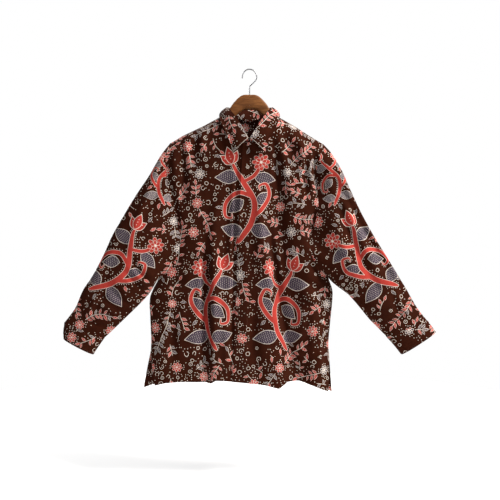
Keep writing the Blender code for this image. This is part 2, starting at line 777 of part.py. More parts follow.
def build_hook(collection):
    """The hook: a straight stem out of the wood and a round that ends in a free tip."""
    centre_z = HOOK_WIRE_RADIUS - HOOK_RADIUS
    points = [(0.0, WOOD_TOP + HOOK_SOCKET_GAP), (0.0, HOOK_STEM_TOP)]
    for step in range(HOOK_STEPS + 1):
        share = step / HOOK_STEPS
        angle = math.radians(HOOK_START_ANGLE + (HOOK_END_ANGLE - HOOK_START_ANGLE) * share)
        points.append((HOOK_RADIUS * math.cos(angle), centre_z + HOOK_RADIUS * math.sin(angle)))
    curve = bpy.data.curves.new("hanger_hook", "CURVE")
    curve.dimensions = "3D"
    curve.bevel_depth = HOOK_WIRE_RADIUS
    curve.bevel_resolution = 2
    curve.use_fill_caps = True
    spline = curve.splines.new("POLY")
    spline.points.add(len(points) - 1)
    for knot, (x, z) in zip(spline.points, points):
        knot.co = (x, 0.0, z, 1.0)
    curve.materials.append(material("hook steel"))
    hook = bpy.data.objects.new("hanger_hook", curve)
    collection.objects.link(hook)
    return hook


# ----------------------------------------------------------------------- main
def main():
    for item in list(bpy.data.objects):
        bpy.data.objects.remove(item, do_unlink=True)
    collection = bpy.data.collections.new("batik shirt on hanger")
    bpy.context.scene.collection.children.link(collection)
    build_cloth(collection)
    build_cuff_button("button_cuff_right", RIGHT_CUFF, collection)
    build_cuff_button("button_cuff_left", LEFT_CUFF, collection)
    build_arm("hanger_arm_right", -1, "hanger wood dark", collection)
    build_arm("hanger_arm_left", 1, "hanger wood light", collection)
    build_hook(collection)


main()
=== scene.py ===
"""Looks of the batik shirt on its hanger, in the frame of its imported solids.

Metres, +Z up, the shirt's front faces -Y, and "left" and "right" are the
wearer's. Each piece of cloth is a thin shell on the form of its solid, with the
creases added, and it is rolled out flat before its print is laid out on it.
The tables give millimetres. Other lengths are metres, and angles are radians
unless they say otherwise.
"""

import json
import math
import random

import bpy
import numpy as np
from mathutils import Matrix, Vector
from mathutils.geometry import delaunay_2d_cdt
from mathutils.kdtree import KDTree

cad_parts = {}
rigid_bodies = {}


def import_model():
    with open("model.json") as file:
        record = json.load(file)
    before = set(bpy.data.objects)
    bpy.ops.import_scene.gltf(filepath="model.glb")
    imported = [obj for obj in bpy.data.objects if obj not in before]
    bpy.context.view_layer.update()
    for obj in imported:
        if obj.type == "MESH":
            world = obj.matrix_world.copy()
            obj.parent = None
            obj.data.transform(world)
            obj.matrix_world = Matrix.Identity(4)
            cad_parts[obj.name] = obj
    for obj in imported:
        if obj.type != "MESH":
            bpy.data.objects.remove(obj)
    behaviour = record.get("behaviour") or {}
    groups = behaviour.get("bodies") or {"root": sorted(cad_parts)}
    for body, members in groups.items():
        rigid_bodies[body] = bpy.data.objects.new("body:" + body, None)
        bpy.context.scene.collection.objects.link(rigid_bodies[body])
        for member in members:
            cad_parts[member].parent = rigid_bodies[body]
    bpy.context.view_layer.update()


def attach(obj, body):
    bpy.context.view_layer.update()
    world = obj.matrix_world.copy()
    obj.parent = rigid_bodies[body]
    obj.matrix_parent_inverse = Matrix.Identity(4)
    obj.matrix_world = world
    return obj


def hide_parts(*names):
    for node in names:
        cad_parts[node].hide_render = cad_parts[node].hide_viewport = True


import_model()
for item in list(bpy.data.objects):
    if item.type in ("CAMERA", "LIGHT"):
        bpy.data.objects.remove(item, do_unlink=True)

MM = 0.001

# ----------------------------------------------------------------- dimensions
CLOTH_WALL = 0.0015        # of the solid cloth, on which the buttons lie
SEAM_GAP = 0.0002          # between the two cloth edges of a seam
ARMHOLE_GAP = 0.0002
ARMHOLE_END_GAP = 0.0006   # at the shoulder and the underarm, where three edges meet
NECK_GAP = 0.0012          # the stand's foot above the neckline's cut edge
STAND_INSET = 0.0017       # and inside it
COLLAR_FOLD_GAP = 0.0026   # fold of the collar fall outside the stand
COLLAR_REST = 0.0024       # from the body's cloth out to the fall that lies on it
FRONT_OVERLAP = 0.018      # each front passes the centre front by this much
OVERLAP_LIFT = 0.0030      # how far the upper front lies proud of the lower one
OVERLAP_BLEND = 0.075      # from the leading edge to where that lift ends
SHOULDER_ROUND = 0.060     # height in which the cloth turns over the hanger
BODY_MID_Y = 0.002         # the plane of the side seams

# Stations of the cloth grids.
FRONT_SHARES = 49          # across one face of a sleeve or a cuff, both edges included
ROW_STEPS = 8              # grid rows from one row of a panel's table to the next
FRONT_COLUMNS = 60
BACK_COLUMNS = 96
SLEEVE_ROWS = 100
CUFF_ROWS = 16
COLLAR_COLUMNS = 160
STAND_ROWS = 8
FALL_ROWS = 24

# How the grids crowd toward an edge (1 is evenly spaced) and how far the seams
# at the top reach down into them.
FRONT_CROWDING = 1.5       # toward the armhole and the side seam
BACK_CROWDING = 1.4        # toward both sides
FALL_CROWDING = 1.3        # toward the collar's fold
FRONT_SHOULDER_ROWS = 3.0
BACK_SHOULDER_ROWS = 4.0
OVERLAP_WHOLE = 0.6        # share of OVERLAP_BLEND in which the lift stays whole
OVERLAP_SHOULDER = 0.05    # height over which the upper front's lift sets in
SIDE_FADE = 0.12           # share of the half width in which folds fade at the sides
FOLD_ONSET = 0.35          # share of a fold's length in which it sets in
FOLD_NARROW = 0.75         # its width at the top, as a share of the middle's
FOLD_WIDENING = 0.5        # and how much that grows to the bottom

# The soft creases, whose cloth swells a little to both sides of them.
CREASE_NARROW = 0.7        # width at the start, as a share of the table's
CREASE_WIDENING = 0.6      # and how much that grows to the end
CREASE_PEAK = 0.85         # power that shifts the deepest place toward the start
CREASE_BESIDE = 1.9        # half widths out to the top of a swell
CREASE_RETURN = 0.3        # height of a swell, as a share of the depth
CREASE_EDGE = 0.06         # share of a sleeve's width in which creases fade at its edges
SEAM_CLEAR_ROWS = 1.2      # table rows in which they fade beside a sleeve's seams

WOOD_SIDES = 32
WOOD_STATIONS = 77
WOOD_SQUARE = 0.5          # power of the section's rounding, 1 is an ellipse
WOOD_JOINT_GAP = 0.00002
WOOD_CLEARANCE = 0.0021    # from the middle of the cloth down to the wood
HOOK_WIRE_RADIUS = 0.0017
HOOK_RADIUS = 0.020        # centre line of the hook's round
HOOK_START_ANGLE = -50.0   # degrees, where the round leaves the stem
HOOK_END_ANGLE = 195.0
HOOK_STEM_TOP = -0.046
HOOK_STEM_STEPS = 8
HOOK_STEPS = 64
HOOK_SIDES = 20
HOOK_SOCKET_GAP = 0.0003
WOOD_TOP = -0.070

# --------------------------------------------------------------------- tables
def new_table(columns, rows, **more):
    return {"columns": columns, "rows": rows, **more}


# Section of the body at each height: the edges seen from the front, how far it
# stands out before and behind the side seams, and how square its sides are.
BODY_SECTIONS = new_table(("z", "left_edge", "right_edge", "front", "back", "power"), (
    (-900, -302, 236, 33, 29, 6.0),
    (-860, -292, 230, 33, 29, 6.0),
    (-800, -279, 223, 33, 29, 6.0),
    (-760, -274, 220, 32, 28, 6.0),
    (-700, -275, 225, 31, 28, 6.0),
    (-640, -278, 231, 30, 27, 6.0),
    (-615, -270, 231, 30, 27, 6.0),
    (-580, -252, 220, 30, 27, 5.5),
    (-540, -262, 232, 31, 28, 4.5),
    (-480, -280, 252, 33, 29, 3.5),
    (-400, -294, 274, 35, 30, 3.0),
    (-300, -300, 286, 38, 32, 2.6),
    (-211, -300, 290, 42, 36, 2.4),
    (-100, -300, 290, 42, 38, 2.4),
))

# The line on which the cloth lies over the hanger.
SHOULDER_LINE = new_table(("x", "z"), (
    (-219, -204),
    (-188, -185),
    (-127, -156),
    (-85, -133),
    (-68, -126),
    (0, -112),
    (68, -126),
    (85, -134),
    (124, -156),
    (160, -180),
    (205, -207),
    (219, -217),
))

# Centre front, which hangs a little off the vertical.
CENTRE_TOP_Z = -0.190
CENTRE_HEM_Z = -0.879
CENTRE_HEM_X = -0.029

# Each body panel, from the shoulder to the hem. A corner row ends one smooth
# stretch of the boundary and begins the next.
RIGHT_FRONT = new_table(("inner_x", "inner_z", "outer_x", "outer_z", "corner"), (
    (-68, -126, -219, -204, 1),
    (-64, -148, -228, -235, 0),
    (-49, -180, -230, -272, 0),
    (-24, -204, -227, -312, 0),
    (18, -211, -218, -352, 1),
    (15, -270, -203, -405, 0),
    (12, -345, -191, -462, 0),
    (8, -430, -197, -512, 0),
    (5, -505, -222, -556, 0),
    (3, -560, -252, -580, 1),
    (1, -615, -270, -615, 0),
    (-1, -650, -278, -650, 0),
    (-5, -760, -274, -760, 0),
    (-6, -787, -274, -787, 1),
    (-11, -877, -261, -878, 1),
), underarm=9)
LEFT_FRONT = new_table(("inner_x", "inner_z", "outer_x", "outer_z", "corner"), (
    (68, -126, 205, -207, 1),
    (64, -148, 196, -236, 0),
    (49, -180, 187, -272, 0),
    (24, -204, 186, -312, 0),
    (-18, -211, 189, -352, 1),
    (-21, -270, 189, -392, 0),
    (-25, -345, 176, -446, 0),
    (-29, -430, 165, -488, 0),
    (-32, -505, 180, -538, 0),
    (-34, -560, 220, -580, 1),
    (-36, -615, 231, -615, 0),
    (-38, -650, 230, -650, 0),
    (-42, -760, 220, -760, 0),
    (-43, -795, 222, -795, 1),
    (-47, -876, 217, -892, 1),
), underarm=9)
BACK = new_table(("right_x", "right_z", "left_x", "left_z", "corner"), (
    (-219, -204, 205, -207, 1),
    (-224, -250, 211, -250, 0),
    (-223, -320, 212, -320, 0),
    (-217, -400, 206, -400, 0),
    (-211, -460, 199, -460, 0),
    (-213, -515, 199, -515, 0),
    (-229, -556, 207, -556, 0),
    (-252, -580, 220, -580, 1),
    (-270, -615, 231, -615, 0),
    (-278, -650, 230, -650, 0),
    (-274, -760, 220, -760, 0),
    (-277, -790, 222, -795, 0),
    (-297, -888, 231, -900, 1),
), underarm=7)
BACK_NECK_HALF = 0.068
BACK_NECK_SIDE_Z = -0.126
BACK_NECK_CENTRE_Z = -0.137

# The hems, which dip where the cloth bellies out between the folds.
HEM_COLUMNS = ("x", "z")
FRONT_HEM = new_table(HEM_COLUMNS, (
    (-261, -876),
    (-230, -868),
    (-190, -865),
    (-118, -866),
    (-107, -869),
    (-92, -860),
    (-20, -866),
    (45, -873),
    (82, -882),
    (104, -865),
    (138, -864),
    (175, -875),
    (217, -893),
))
BACK_HEM = new_table(HEM_COLUMNS, (
    (-297, -888),
    (-262, -879),
    (-200, -868),
    (0, -866),
    (120, -868),
    (180, -878),
    (231, -900),
))

# Large folds of the body: a trough has a negative depth, a ridge a positive one.
# They run down from z_top, through three places across, and fade in there.
FRONT_FOLDS = new_table(("x_top", "x_middle", "x_low", "z_top", "z_low", "half_width", "depth"), (
    (64, 92, 136, -200, -890, 26, -17),
    (30, 40, 78, -300, -900, 30, 9),
    (150, 165, 184, -420, -900, 24, 8),
    (-119, -119, -124, -440, -900, 15, -12),
    (-96, -94, -108, -430, -900, 20, 8),
    (-186, -192, -200, -300, -520, 16, -5),
    (-190, -196, -205, -620, -900, 26, 5),
    (-150, -160, -172, -560, -900, 18, -5),
))
BACK_FOLDS = new_table(("x_top", "x_middle", "x_low", "z_top", "z_low", "half_width", "depth"), (
    (-110, -130, -150, -260, -900, 26, -13),
    (-60, -72, -84, -320, -900, 26, 8),
    (86, 98, 112, -240, -900, 24, -15),
    (130, 146, 160, -420, -900, 22, 7),
    (10, 2, -12, -420, -900, 24, -7),
    (44, 46, 48, -520, -900, 20, 6),
    (-190, -205, -222, -500, -900, 20, -6),
))

# Rings of each sleeve from the armhole to the cuff: the two edges seen from the
# front, the middle of the ring and half its thickness.
SLEEVE_COLUMNS = ("outer_x", "outer_z", "inner_x", "inner_z", "middle", "half")
RIGHT_SLEEVE = new_table(SLEEVE_COLUMNS, (
    (-219, -204, -252, -580, 0, 27),
    (-245, -240, -259, -592, -10, 26),
    (-278, -299, -266, -605, -17, 25),
    (-311, -349, -272, -616, -21, 24),
    (-343, -403, -281, -628, -23, 23),
    (-375, -458, -295, -643, -23, 22),
    (-404, -521, -314, -662, -22, 21),
    (-431, -571, -336, -683, -20, 20),
    (-459, -613, -358, -704, -18, 19),
    (-481, -662, -381, -726, -16, 18),
    (-512, -704, -404, -747, -14, 16),
))
LEFT_SLEEVE = new_table(SLEEVE_COLUMNS, (
    (205, -207, 220, -580, 0, 27),
    (229, -238, 228, -590, -12, 27),
    (255, -285, 237, -598, -20, 27),
    (281, -346, 246, -605, -25, 26),
    (310, -407, 257, -613, -27, 25),
    (342, -465, 271, -624, -27, 24),
    (380, -526, 290, -644, -25, 22),
    (408, -571, 311, -669, -23, 21),
    (436, -617, 332, -694, -20, 20),
    (464, -664, 356, -718, -17, 18),
    (493, -700, 380, -742, -15, 16),
))
ARMHOLE_RINGS = 4.0        # rings in which the armhole's curve fades out
RING_SQUARE = 2.4          # how flat a sleeve's faces are
SEAM_STEP = 0.02           # rows looked ahead and back for the seam's direction

# The cuffs, in the same way.
RIGHT_CUFF = new_table(SLEEVE_COLUMNS, (
    (-511.8, -702.1, -401.6, -745.9, -14, 17.2),
    (-515, -727, -418, -769, -14, 16.6),
    (-514, -748, -432, -791, -14, 17),
))
LEFT_CUFF = new_table(SLEEVE_COLUMNS, (
    (492.8, -698.1, 377.6, -740.9, -15, 17.2),
    (505, -715, 401, -767, -15, 16.6),
    (515, -729, 420, -791, -15, 17),
))

# The button behind each cuff: its place along the cuff in rows, and across it.
CUFF_BUTTON_ROW = 1.0
CUFF_BUTTON_SHARE = 0.36
BUTTON_RADIUS = 0.0055
BUTTON_THICKNESS = 0.0026
BUTTON_CLEARANCE = 0.0006  # from the cloth's face out to the button's back

# Long soft folds of the sleeves: the face they lie on (-1 in front), where they
# start and end along the sleeve in rings and across it as a share of its width.
SLEEVE_FOLD_COLUMNS = ("face", "ring_start", "ring_end", "share_start", "share_end",
                       "half_width", "depth")
RIGHT_SLEEVE_FOLDS = new_table(SLEEVE_FOLD_COLUMNS, (
    (-1, 1.0, 6.5, 0.62, 0.52, 0.09, -5),
    (-1, 4.5, 9.5, 0.34, 0.46, 0.10, -4),
    (1, 1.0, 7.0, 0.60, 0.48, 0.10, -5),
    (1, 5.0, 9.5, 0.34, 0.50, 0.10, -4),
))
LEFT_SLEEVE_FOLDS = new_table(SLEEVE_FOLD_COLUMNS, (
    (-1, 0.6, 7.5, 0.26, 0.55, 0.09, -9),
    (-1, 0.8, 5.0, 0.52, 0.70, 0.08, 5),
    (-1, 5.0, 9.6, 0.30, 0.42, 0.09, -4),
    (1, 1.0, 7.0, 0.58, 0.45, 0.10, -6),
    (1, 5.0, 9.5, 0.38, 0.50, 0.10, -4),
))

# Half of the collar from the front end to the centre back: the neck seam, the
# fold on top of the stand, and the free edge of the fall. From the front end to
# the shoulder row the neck seam is on the fronts, and behind it on the back.
COLLAR = new_table(("neck_x", "neck_z", "fold_x", "fold_y", "fold_z",
                    "edge_x", "edge_y", "edge_z"), (
    (0.6, -206.5, 1.6, -49, -198, 45, -47, -238),
    (24, -201, 12, -50, -181, 54, -46, -206),
    (49, -180, 31, -46, -148, 68, -39, -176),
    (64, -148, 49, -33, -123, 79, -24, -151),
    (68, -126, 60, -8, -107, 84, -3, -129),
    (60, -128, 57, 20, -101, 76, 32, -136),
    (36, -134, 35, 40, -98, 46, 50, -144),
    (0, -137, 0, 47, -97, 0, 57, -145),
), shoulder=4)
FALL_BULGE = 0.006

# Half of the wooden hanger, from the joint in the middle to the tip. The arm
# rests under the shoulder line where under_cloth is 1.
HANGER_ARM = new_table(("out", "top", "depth", "half_thickness", "under_cloth"), (
    (0, -70, 42, 7.5, 0),
    (15, -70, 42, 7.5, 0),
    (27, -75, 44, 7.5, 0),
    (40, -87, 44, 7.5, 0),
    (51, -101, 39, 7.5, 0),
    (60, -119, 31, 7.5, 0),
    (69, -132, 31, 7.5, 0),
    (88, -138, 33, 7.5, 1),
    (125, -157, 34, 7.5, 1),
    (165, -180, 31, 7.0, 1),
    (196, -196, 27, 6.5, 1),
    (205, -203, 18, 5.0, 1),
))

# The shown cloth and how it is rolled out flat.
WALL = 0.0009              # thickness of the shown cloth
COLLAR_SHELL = 0.0014      # and of the shown collar
COLLAR_LIFT = 0.0035       # of the fall's free edge off the fronts
ROLL_ROUNDS = 30           # rounds of rolling a cut out flat
LEAST_WEIGHT = 0.05        # the least that a triangle's side counts in them
FIND_ROUNDS = 8            # rounds of finding a flat place in a grid
FIND_REACH = 1.5           # cells by which a round may move it
FLAT_CELL = 1e-14          # takes the place of a smaller cell, in square metres
LEAST_LENGTH = 1e-12       # takes the place of a shorter normal
EDGE_STEP = 0.0042         # between points along a cut's edge
GRAIN_STEP = 0.0078        # between free points inside a cut
MERGE = 5e-6               # printed points nearer than this are one
BAKE_MARGIN = 0.02         # round a cut in its bake layout
YARN_SCALE = 628.0         # bands of the weave half a millimetre apart

# Soft creases of the cloth seen from the front: the face they lie on (-1 in
# front), their two ends, the sideways bow between them, half width and depth.
CREASE_COLUMNS = ("face", "x_start", "z_start", "x_end", "z_end", "bow", "half_width", "depth")
BODY_CREASES = new_table(CREASE_COLUMNS, (
    (-1, 66, -200, 92, -392, 4, 10, -11.5),
    (-1, 47, -395, 128, -872, -5, 11, -14.5),
    (-1, -31, -196, -53, -880, 0, 6, -7.5),
    (-1, -122, -480, -120, -872, 3, 10, -13.5),
    (-1, -222, -300, -196, -470, 5, 7, -7.5),
    (-1, 176, -223, 184, -404, 4, 10, -14.0),
    (-1, 184, -380, 166, -500, -4, 10, -13.5),
    (-1, 166, -476, 224, -590, 5, 10, -13.5),
    (-1, -188, -196, -184, -372, 6, 9, -7.1),
    (-1, -206, -214, -200, -330, -5, 8, 3.9),
    (-1, -150, -168, -166, -300, 8, 13, -5.5),
    (-1, -118, -150, -128, -250, -6, 12, 4.2),
    (-1, 96, -152, 128, -270, -8, 12, -6.7),
    (-1, 128, -172, 160, -330, 6, 11, 6.3),
    (-1, 160, -196, 170, -420, -9, 9, -8.8),
    (-1, -246, -590, -190, -536, 4, 6, -6.0),
    (-1, -252, -616, -170, -574, -5, 8, -4.2),
    (-1, -240, -640, -150, -618, 5, 10, 4.6),
    (-1, 214, -592, 156, -536, -4, 7, -6.3),
    (-1, 216, -622, 140, -576, 5, 9, -6.3),
    (-1, 206, -654, 130, -626, -4, 10, 5.0),
    (-1, -60, -300, -74, -560, 7, 14, -5.0),
    (-1, -88, -330, -98, -640, -6, 12, 4.6),
    (-1, -34, -400, -44, -780, 6, 11, -4.6),
    (-1, 30, -330, 52, -620, -8, 13, 5.5),
    (-1, -214, -660, -222, -872, 6, 14, -6.3),
    (-1, -150, -640, -158, -862, -5, 12, 5.5),
    (-1, -70, -690, -64, -864, 5, 12, 5.0),
    (-1, 12, -650, 20, -866, -6, 13, -5.9),
    (-1, 160, -640, 150, -868, 6, 13, -7.1),
    (-1, 196, -700, 204, -880, -4, 9, 5.5),
    (-1, -36, -226, -96, -300, 6, 10, -3.8),
    (-1, 52, -232, 74, -330, 5, 9, -4.2),
    (1, -186, -200, -176, -400, -7, 10, -5.4),
    (1, -150, -180, -150, -330, 6, 13, 4.2),
    (1, 172, -204, 160, -410, 7, 10, -5.4),
    (1, 140, -190, 132, -340, -6, 12, 3.9),
    (1, -236, -600, -160, -530, 6, 8, -6.3),
    (1, -244, -640, -140, -590, -6, 10, -4.2),
    (1, 206, -604, 140, -532, -6, 8, -6.0),
    (1, 210, -642, 120, -596, 6, 10, -3.9),
    (1, -40, -190, -52, -420, 7, 14, -3.9),
    (1, 26, -180, 34, -460, -6, 13, 3.9),
    (1, -20, -420, -30, -700, 6, 12, 3.6),
    (1, 66, -420, 74, -760, -7, 12, -4.2),
    (1, -176, -560, -192, -860, 6, 12, 4.5),
    (1, -110, -620, -122, -862, -6, 12, -4.8),
    (1, 176, -620, 188, -872, 5, 12, -4.5),
))
SLEEVE_CREASES = new_table(CREASE_COLUMNS, (
    (-1, 224, -276, 428, -654, -4, 11, -11.5),
    (-1, -232, -270, -300, -430, 10, 9, -4.2),
    (-1, -262, -330, -330, -520, -8, 11, 4.2),
    (-1, -268, -590, -322, -520, 8, 8, -6.3),
    (-1, -292, -618, -352, -552, -6, 8, -4.8),
    (-1, -320, -652, -392, -590, 6, 9, -5.1),
    (-1, -348, -500, -420, -640, -8, 10, -3.9),
    (-1, -356, -690, -436, -636, -5, 8, 3.9),
    (-1, -404, -600, -470, -712, 6, 9, 3.9),
    (-1, -392, -716, -470, -676, 4, 7, -4.2),
    (-1, 236, -582, 276, -500, -6, 8, -6.0),
    (-1, 256, -606, 318, -540, 7, 9, -5.4),
    (-1, 296, -640, 366, -572, -6, 8, -4.5),
    (-1, 330, -690, 414, -630, 5, 9, 4.2),
    (-1, 362, -716, 440, -672, -4, 7, -4.2),
    (-1, 330, -470, 400, -610, 8, 10, -3.9),
    (-1, 392, -590, 452, -708, -6, 9, 3.9),
    (-1, 232, -300, 262, -420, 6, 9, -5.1),
    (1, -236, -280, -310, -450, 9, 10, -4.5),
    (1, -272, -590, -340, -500, -7, 10, -6.0),
    (1, -312, -640, -390, -566, 6, 9, -4.8),
    (1, -370, -700, -450, -640, -5, 8, -4.2),
    (1, -380, -560, -456, -700, 7, 10, 4.2),
    (1, 226, -290, 290, -450, -8, 10, -4.5),
    (1, 244, -586, 310, -500, 7, 10, -6.0),
    (1, 290, -636, 366, -566, -6, 9, -4.8),
    (1, 346, -704, 430, -640, 5, 8, -4.2),
    (1, 364, -550, 440, -700, -7, 10, 4.2),
))

PRINT_COLOURS = {
    "ground": (0.0265, 0.0056, 0.0022),
    "cream": (0.60, 0.525, 0.46),
    "coral": (0.33, 0.034, 0.026),
    "slate": (0.052, 0.038, 0.054),
}

# The print, in metres on the flat cloth.
CELL = 0.0010              # of the map of taken ground
LAYOUT_MARGIN = 0.02       # of that map round the cut
ANY_WAY = (0.0, 6.28)      # range of a random direction
LINE = 0.0008              # light outlines
STALK = 0.0011             # light stalks
LEAF_LINE = 0.0006         # light edge of a small leaf
HATCH = 0.0005             # light hatching across a leaf
DOT = 0.0012               # radius of a light dot
DOT_ROOM = 0.0012          # free ground that a dot beside a motif asks for
HALO = 0.0040              # from a flower out to the dots round it
HALO_STEP = 0.0062         # between those dots
HATCH_SHARES = (0.36, 0.64)

# Leaves: how far the tip droops, the power that sets the widest place nearer the
# stalk, and on a vine their lean, length and width as a share of the length.
LEAF_DROOP = 0.12
LEAF_PEAK = 0.85
LEAF_LEAN = (0.60, 1.0)
LEAF_LENGTH = (0.0140, 0.0190)
LEAF_SLIM = (0.42, 0.52)
LEAF_EVERY = 3             # vine steps between leaves
LEAF_PAIRS = 0.72          # share of those places with a leaf on both sides
LEAF_OUT = 0.0014          # from the middle of the stalk
COOL_SLATE = 0.8           # share of slate leaves on a cool vine
OTHER_SLATE = 0.12         # and among the others

# The leaf at a vine's tip and those off the large plant: length, width, and how
# far ahead they ask for how much free ground.
TIP_LEAF = (0.017, 0.0080)
TIP_AHEAD = 0.010
TIP_ROOM = 0.0036
FINGER_LEAF = (0.018, 0.0085)
FINGER_AHEAD = 0.012
FINGER_ROOM = 0.0030

# Dots on the large plant's leaves, in the plant's millimetres but for the radius.
LEAF_DOT_ROWS = 5.6
LEAF_DOT_STEP = 4.8
LEAF_DOT_IN = 2.0          # least distance in from the leaf's edge
LEAF_DOT = 0.0008

# Vines: a step, the bend a step that they start with at most, the share of it
# that is kept, what chance adds at most, and the free ground asked for ahead.
VINE_STEP = 0.0042
VINE_BEND = 0.09
VINE_KEEP = 0.86
VINE_SWAY = 0.045
VINE_AHEAD = 0.007
VINE_ROOM = 0.0052
VINE_COOL = 0.28           # share of the vines with mostly slate leaves
VINE_CLEAR = 0.0085        # free ground round the start of a vine
VINE_REACH = (0.030, 0.10)
STALK_ROOM = 0.0008        # ground that a stalk takes to each side

# Rings: their corners, how much these vary, the share left open and its step in
# radians, the share with a dot, and the radius of a ring in a group or alone.
RING_POINTS = 11
RING_WAVE = (0.86, 1.12)
RING_OPEN = 0.35
RING_OPEN_STEP = 0.5
RING_DOTTED = 0.3
GROUPED_RING = (0.0044, 0.0064)
LONE_RING = (0.0040, 0.0060)
GROUPED_GAP = 0.0004
LONE_GAP = 0.0008
GROUP_SPREAD = 0.020
RINGS_TOGETHER = 10

# Loose dots, in small groups, and their sizes as shares of the usual one.
DOTS_TOGETHER = 8
DOT_SPREAD = 0.009
DOT_APART = 0.0024
DOT_SIZES = (0.85, 1.1)

# Flowers on the ground, and how often each kind is tried a square metre.
FLOWER_ROOM = 0.0175
FLOWER_APART = 0.072
FLOWER_RADIUS = (0.0130, 0.0165)
FLOWER_VINE = (0.05, 0.12)  # reach of the two vines that start beside a flower
FLOWER_VINE_OUT = 0.0205
FLOWER_VINES_APART = 2.9   # radians
FLOWER_TRIES = 2400
RING_GROUPS = 75
VINE_TRIES = 1700
RING_TRIES = 2200
DOT_TRIES = 1700

# Finding a plant's place on a cut: what the far face of a tube counts more, in
# square metres, and the rows looked up and down for the cloth's lean.
OTHER_FACE = 1e-4
LEAN_ROWS = 3
EDGE_LINE_IN = 0.0012      # from the collar's ends in to the light line along them

# Rounds of petals: how many, how far out, half length and half width in shares
# of the flower's radius, and how the round is turned.
PETAL_ROUNDS = ((8, 0.69, 0.32, 0.25, 0.0), (6, 0.37, 0.26, 0.19, 0.3))

# Where the large plants lie as seen from the piece's own side (-1 in front),
# how many degrees they lean from upright, their size, and whether they are
# turned over.
PLANTS = new_table(("piece", "side", "x", "z", "lean", "size", "flip"), (
    ("cloth_front_right", -1, -10, -352, 4, 1.0, 1),
    ("cloth_front_left", -1, -10, -352, 4, 1.0, 1),
    ("cloth_front_right", -1, -112, -640, -6, 1.0, -1),
    ("cloth_front_left", -1, 92, -640, 3, 1.0, -1),
    ("cloth_sleeve_right", -1, -340, -530, -36, 0.95, 1),
    ("cloth_sleeve_left", -1, 308, -520, 36, 0.95, -1),
    ("cloth_sleeve_right", -1, -232, -300, -14, 0.6, -1),
    ("cloth_sleeve_left", -1, 228, -300, 18, 0.6, 1),
    ("cloth_sleeve_right", 1, -330, -520, -36, 0.95, -1),
    ("cloth_sleeve_left", 1, 300, -520, 36, 0.95, 1),
    ("cloth_back", 1, -8, -330, -4, 1.0, -1),
    ("cloth_back", 1, -130, -600, 8, 1.0, 1),
    ("cloth_back", 1, 96, -640, -6, 1.0, -1),
))

# The large plant in its own frame, in millimetres about its middle, +Y up the
# stem. A stem's points carry its width. Leaves and petals grow from x, y, and
# all turns are degrees.
PLANT_STEMS = (
    ((-34, -132, 4), (-22, -116, 13), (10, -74, 16), (22, -20, 15), (-4, 34, 14), (-24, 72, 10),
     (-29, 90, 6)),
    ((13, -64, 10), (44, -40, 12), (66, -6, 11), (58, 26, 8), (38, 22, 5), (40, 10, 2)),
    ((19, -6, 10), (-20, 8, 12), (-56, -16, 11), (-62, -52, 8), (-44, -60, 5), (-42, -48, 2)),
    ((-4, 36, 9), (24, 50, 10), (40, 70, 9), (45, 84, 7)),
)
PLANT_LEAVES = new_table(("x", "y", "turn", "length", "width"), (
    (-16, -106, 152, 62, 36),
    (4, -88, -26, 72, 38),
    (26, -24, 24, 50, 30),
    (-14, 48, 168, 66, 36),
    (-8, -14, 208, 52, 32),
    (26, 50, -20, 58, 32),
))
PLANT_PETALS = new_table(("x", "y", "turn", "length", "width"), (
    (-30, 88, 142, 38, 20),
    (-30, 88, 64, 38, 20),
    (-30, 88, 103, 46, 24),
))
PLANT_BLOOMS = ((46, 88, 25),)
# Small leaves that stand off the plant: place and turn.
PLANT_FINGERS = ((-40, -112, 215), (-8, -128, 270), (44, -58, -40), (78, -10, 0), (-70, -30, 165),
                 (-42, 44, 100), (62, 46, 20), (-12, 128, 84), (-60, 108, 150), (8, 112, 60))

PRINT_SEEDS = {
    "cloth_front_right": 11,
    "cloth_front_left": 22,
    "cloth_back": 13,
    "cloth_sleeve_right": 14,
    "cloth_sleeve_left": 15,
    "cloth_cuff_right": 16,
    "cloth_cuff_left": 17,
    "cloth_collar_stand": 18,
    "cloth_collar_fall": 19,
}
RICHNESS = {"cloth_back": 0.9}

# Rows of stitches: how far in from the edge, the length of one, the gap to the
# next, and half its thickness, in metres.
HEM_IN = 0.020
EDGE_IN = 0.0050
PLACKET_IN = 0.034
VENT_TOP = -0.785          # the height at which the side vents begin
STITCH = 0.0025
STITCH_GAP = 0.0010
THREAD_RADIUS = 0.00022

# Half section of a button: how far out and how far up from its back, in shares.
BUTTON_PROFILE = ((0.86, 0.0), (0.97, 0.12), (1.0, 0.45), (0.97, 0.85), (0.88, 1.0), (0.76, 0.96),
                  (0.66, 0.66), (0.40, 0.58))
BUTTON_TURNS = 48
# Each hole holds a near-black disc: the thread in it, with the hole's shade painted into its
# colour.
HOLE_OFFSET = 0.00112      # of a hole's thread from the button's middle, both ways
HOLE_RADIUS = 0.00055
HOLE_SIDES = 12
HOLE_SUNK = 0.0001         # of the disc of thread and painted hole shade below the button's face
HOLE_PROUD = 0.00012       # and above it

# The studio. Each light has a name, a place, a size, a power in watts and a colour.
WHITE = (1.0, 1.0, 1.0)
LIGHTS = (
    ("key", (2.3, -1.1, 2.2), 0.9, 330.0, (1.0, 0.97, 0.93)),
    ("fill", (0.6, -2.6, 0.6), 1.4, 14.0, WHITE),
    ("rim", (-1.6, 2.2, 1.6), 2.0, 180.0, WHITE),
)
LIGHT_TARGET = (0.0, 0.0, -0.5)
SKY_STRENGTH = 0.20        # of the light from all round
FLOOR_COLOUR = (0.78, 0.78, 0.78)
FLOOR_Z = -1.15
FLOOR_REACH = 1.6
FLOOR_SIDES = 96
CAMERA_PLACE = (0.0014, -1.75, -0.50245)
CAMERA_LENS = 45.16
CAMERA_SENSOR = 36.0


# -------------------------------------------------------------------- helpers
def column(table, name):
    """One column of a table as an array, as the table gives it."""
    index = table["columns"].index(name)
    return np.array([row[index] for row in table["rows"]], dtype=float)


